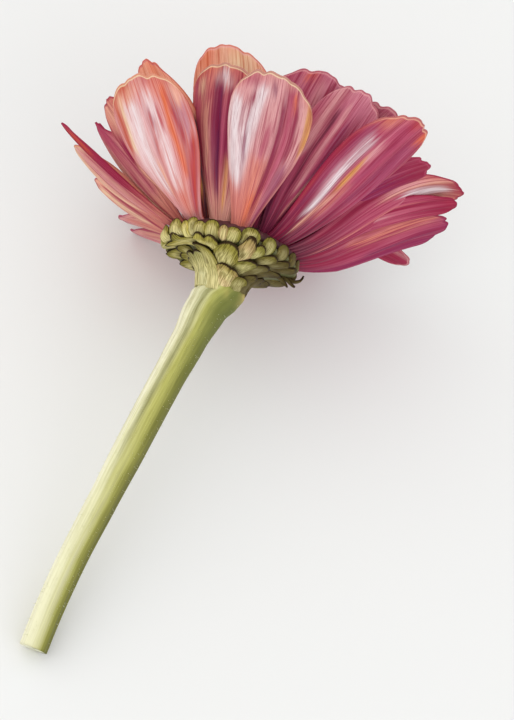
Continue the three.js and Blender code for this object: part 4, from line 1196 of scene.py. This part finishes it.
def stem_curve():
    start = HEAD @ (Vector((0, 0, CUP_FOOT - SEAT_GAP)) * mm) / mm
    reach = -STEM_LINE[-1][1]
    drop = start.z - (STEM_RADII[-1][1] - STEM_FLAT)
    arch = (drop - STEM_START_SLOPE * reach) / reach ** 2
    falls = [STEM_START_SLOPE * -y + arch * y * y for _, y in STEM_LINE]
    return smooth_line([start + Vector((x, y, -fall)) for (x, y), fall in zip(STEM_LINE, falls)])


stem_line = stem_curve()
HEAD_AXIS = HEAD.to_3x3() @ Vector((0, 0, 1))


def stem_point(share, turn, proud=0.0):
    """A point on the stem's skin, in millimetres, and the way out from its middle line."""
    middle, way = along_line(stem_line, share)
    along = (-way).lerp(HEAD_AXIS, max(0.0, 1 - share / 0.06)).normalized()
    side = Vector((0, 0, 1)).cross(along).normalized()
    out = side * math.cos(turn) + along.cross(side) * math.sin(turn)
    shown = min(1.0, share * 12)
    ribs = STEM_RIB * math.cos(8 * turn) * shown * (0.6 + 0.4 * math.cos(3 * turn + 5 * share))
    apart = math.atan2(math.sin(turn - GROOVE_TURN), math.cos(turn - GROOVE_TURN))
    groove = GROOVE_DEPTH * math.exp(-(apart / GROOVE_WIDTH) ** 2) * between(0.0, 0.05, share)
    groove *= 1 - 0.75 * between(0.2, 0.42, share)
    return middle + out * (stem_radius(share) + ribs - groove + proud), out


stem = mapped_sheet(STEM_COLUMNS, STEM_ROWS)
sunlit_layer = stem.verts.layers.float.new("sunlit")
groove_layer = stem.verts.layers.float.new("groove")
cut_layer = stem.verts.layers.float.new("cut")
for vert in stem.verts:
    turn = (vert.co.x + 1) * math.pi
    share = ((vert.co.y + 1) / 2) ** 1.35
    vert[sunlit_layer] = math.cos(turn)
    vert[groove_layer] = math.exp(-((turn - GROOVE_TURN) / 0.16) ** 2) * (1 - between(0.35, 0.6, share))
    into_cup = HEAD_AXIS * (0.6 if share == 0 else 0.0)
    vert.co = (stem_point(share, turn)[0] + into_cup) * mm
bmesh.ops.remove_doubles(stem, verts=stem.verts[:], dist=0.001 * mm)
bmesh.ops.holes_fill(stem, edges=[edge for edge in stem.edges if edge.is_boundary], sides=0)
bmesh.ops.recalc_face_normals(stem, faces=stem.faces[:])
ends = sorted((face for face in stem.faces if len(face.verts) > 4),
              key=lambda face: face.calc_center_median().y)
for thickness, depth, whiteness in ((0.35, 0.0, 0.35), (0.5, -0.06, 0.7), (0.9, -0.08, 1.0)):
    bmesh.ops.inset_region(stem, faces=[ends[0]], thickness=thickness * mm, depth=depth * mm)
    for vert in ends[0].verts:
        vert[cut_layer] = whiteness
middle = bmesh.ops.poke(stem, faces=ends)["verts"]
for vert in middle:
    vert[cut_layer] = 1.0
for vert in stem.verts:
    vert.co.z = max(vert.co.z, 0.0)

stem_finish, place, chart, shader = new_finish("stem_skin", 0.5, Specular_IOR_Level=0.4)
across, along, _ = chart.parts()
sunlit = place.mark("sunlit", "Fac")
lengthwise = across.together(along, 0.5)
fibres = lengthwise.stretched(90.0, 14.0, 1.0).grain(1.0, 3.0)
stripes = lengthwise.stretched(22.0, 2.5, 1.0).grain(1.0, 2.0)
blotch = place.grain(160.0, 2.0)
# Painted light and shade: dark olive on the side away from the light, pale cream on the side towards it.
turned_to = sunlit + (stripes - 0.5) * 0.7 + (blotch - 0.5) * 0.2
shaded = turned_to.rise(-0.95, -0.1).tint(linear("6a6a14"), linear("b5b35c"))
body = turned_to.rise(-0.1, 0.45).tint(shaded, linear("dad8a4"))
paler = turned_to.rise(0.4, 0.95).tint(body, linear("f2efd0"))
striped = (stripes.rise(0.5, 0.7) * 0.4).tint(paler, linear("b0ab62"), "MULTIPLY")
fibred = (fibres.rise(0.35, 0.7) * 0.35).tint(striped, linear("a8a35c"), "MULTIPLY")
# Painted shade on the side away from the light, under the bloom.
neck_shade = (1 - along).rise(0.45, 0.95) * (1 - turned_to.rise(-0.7, 0.25))
neck_shaded = (neck_shade * 0.65).tint(fibred, linear("5c661e"))
# Paler towards the cut end on the side towards the light; the paleness there is painted light.
lit_paler_to_cut = (along.rise(0.4, 1.0) * turned_to.rise(-0.6, 0.2) * 0.55).tint(neck_shaded, linear("efebcc"))
# Darker in the groove: painted shade.
grooved = (place.mark("groove", "Fac") * (0.45 + fibres * 0.5)).tint(lit_paler_to_cut, linear("6c6a2c"))
golden = ((1 - along).rise(0.92, 1.0) * blotch.rise(0.4, 0.6) * 0.6).tint(grooved, linear("d9bf6a"))
cut = place.mark("cut", "Fac")
feed(shader, Base_Color=cut.rise(0.1, 0.9).tint(golden, linear("e6e6cf")),
     Roughness=0.45 + fibres * 0.2, Normal=raised(fibres, 0.12 * mm, 0.6))
piece = finished("stem_skin", stem, stem_finish)
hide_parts("stem")
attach(piece, "root")

hairs = []
draw = draws(HAIR_SEED)
for _ in range(HAIR_COUNT):
    share = 0.01 + 0.97 * abs(next(draw))
    turn = math.pi * next(draw)
    root, out = stem_point(share, turn, -0.05)
    length = HAIR_LENGTH + 0.2 * next(draw)
    lean = (out + 0.35 * along_line(stem_line, share)[1]).normalized()
    if root.z + length * lean.z > HAIR_CLEARANCE:
        hair = bmesh.new()
        bmesh.ops.create_cone(hair, cap_ends=True, segments=3, radius1=HAIR_RADIUS,
                              radius2=HAIR_TIP_RADIUS, depth=length)
        stand = Matrix.Translation(root + lean * length / 2)
        hair.transform(Matrix.Scale(mm, 4) @ stand @ lean.to_track_quat("Z", "Y").to_matrix().to_4x4())
        hairs.append(hair)
hair_finish, place, _, shader = new_finish("stem_hair", 0.4)
cloud = place.grain(300.0)
feed(shader, Base_Color=cloud.tint(linear("c9cd96"), linear("e9ead0")))
piece = finished("stem_hairs", gathered(hairs), hair_finish)
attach(piece, "root")
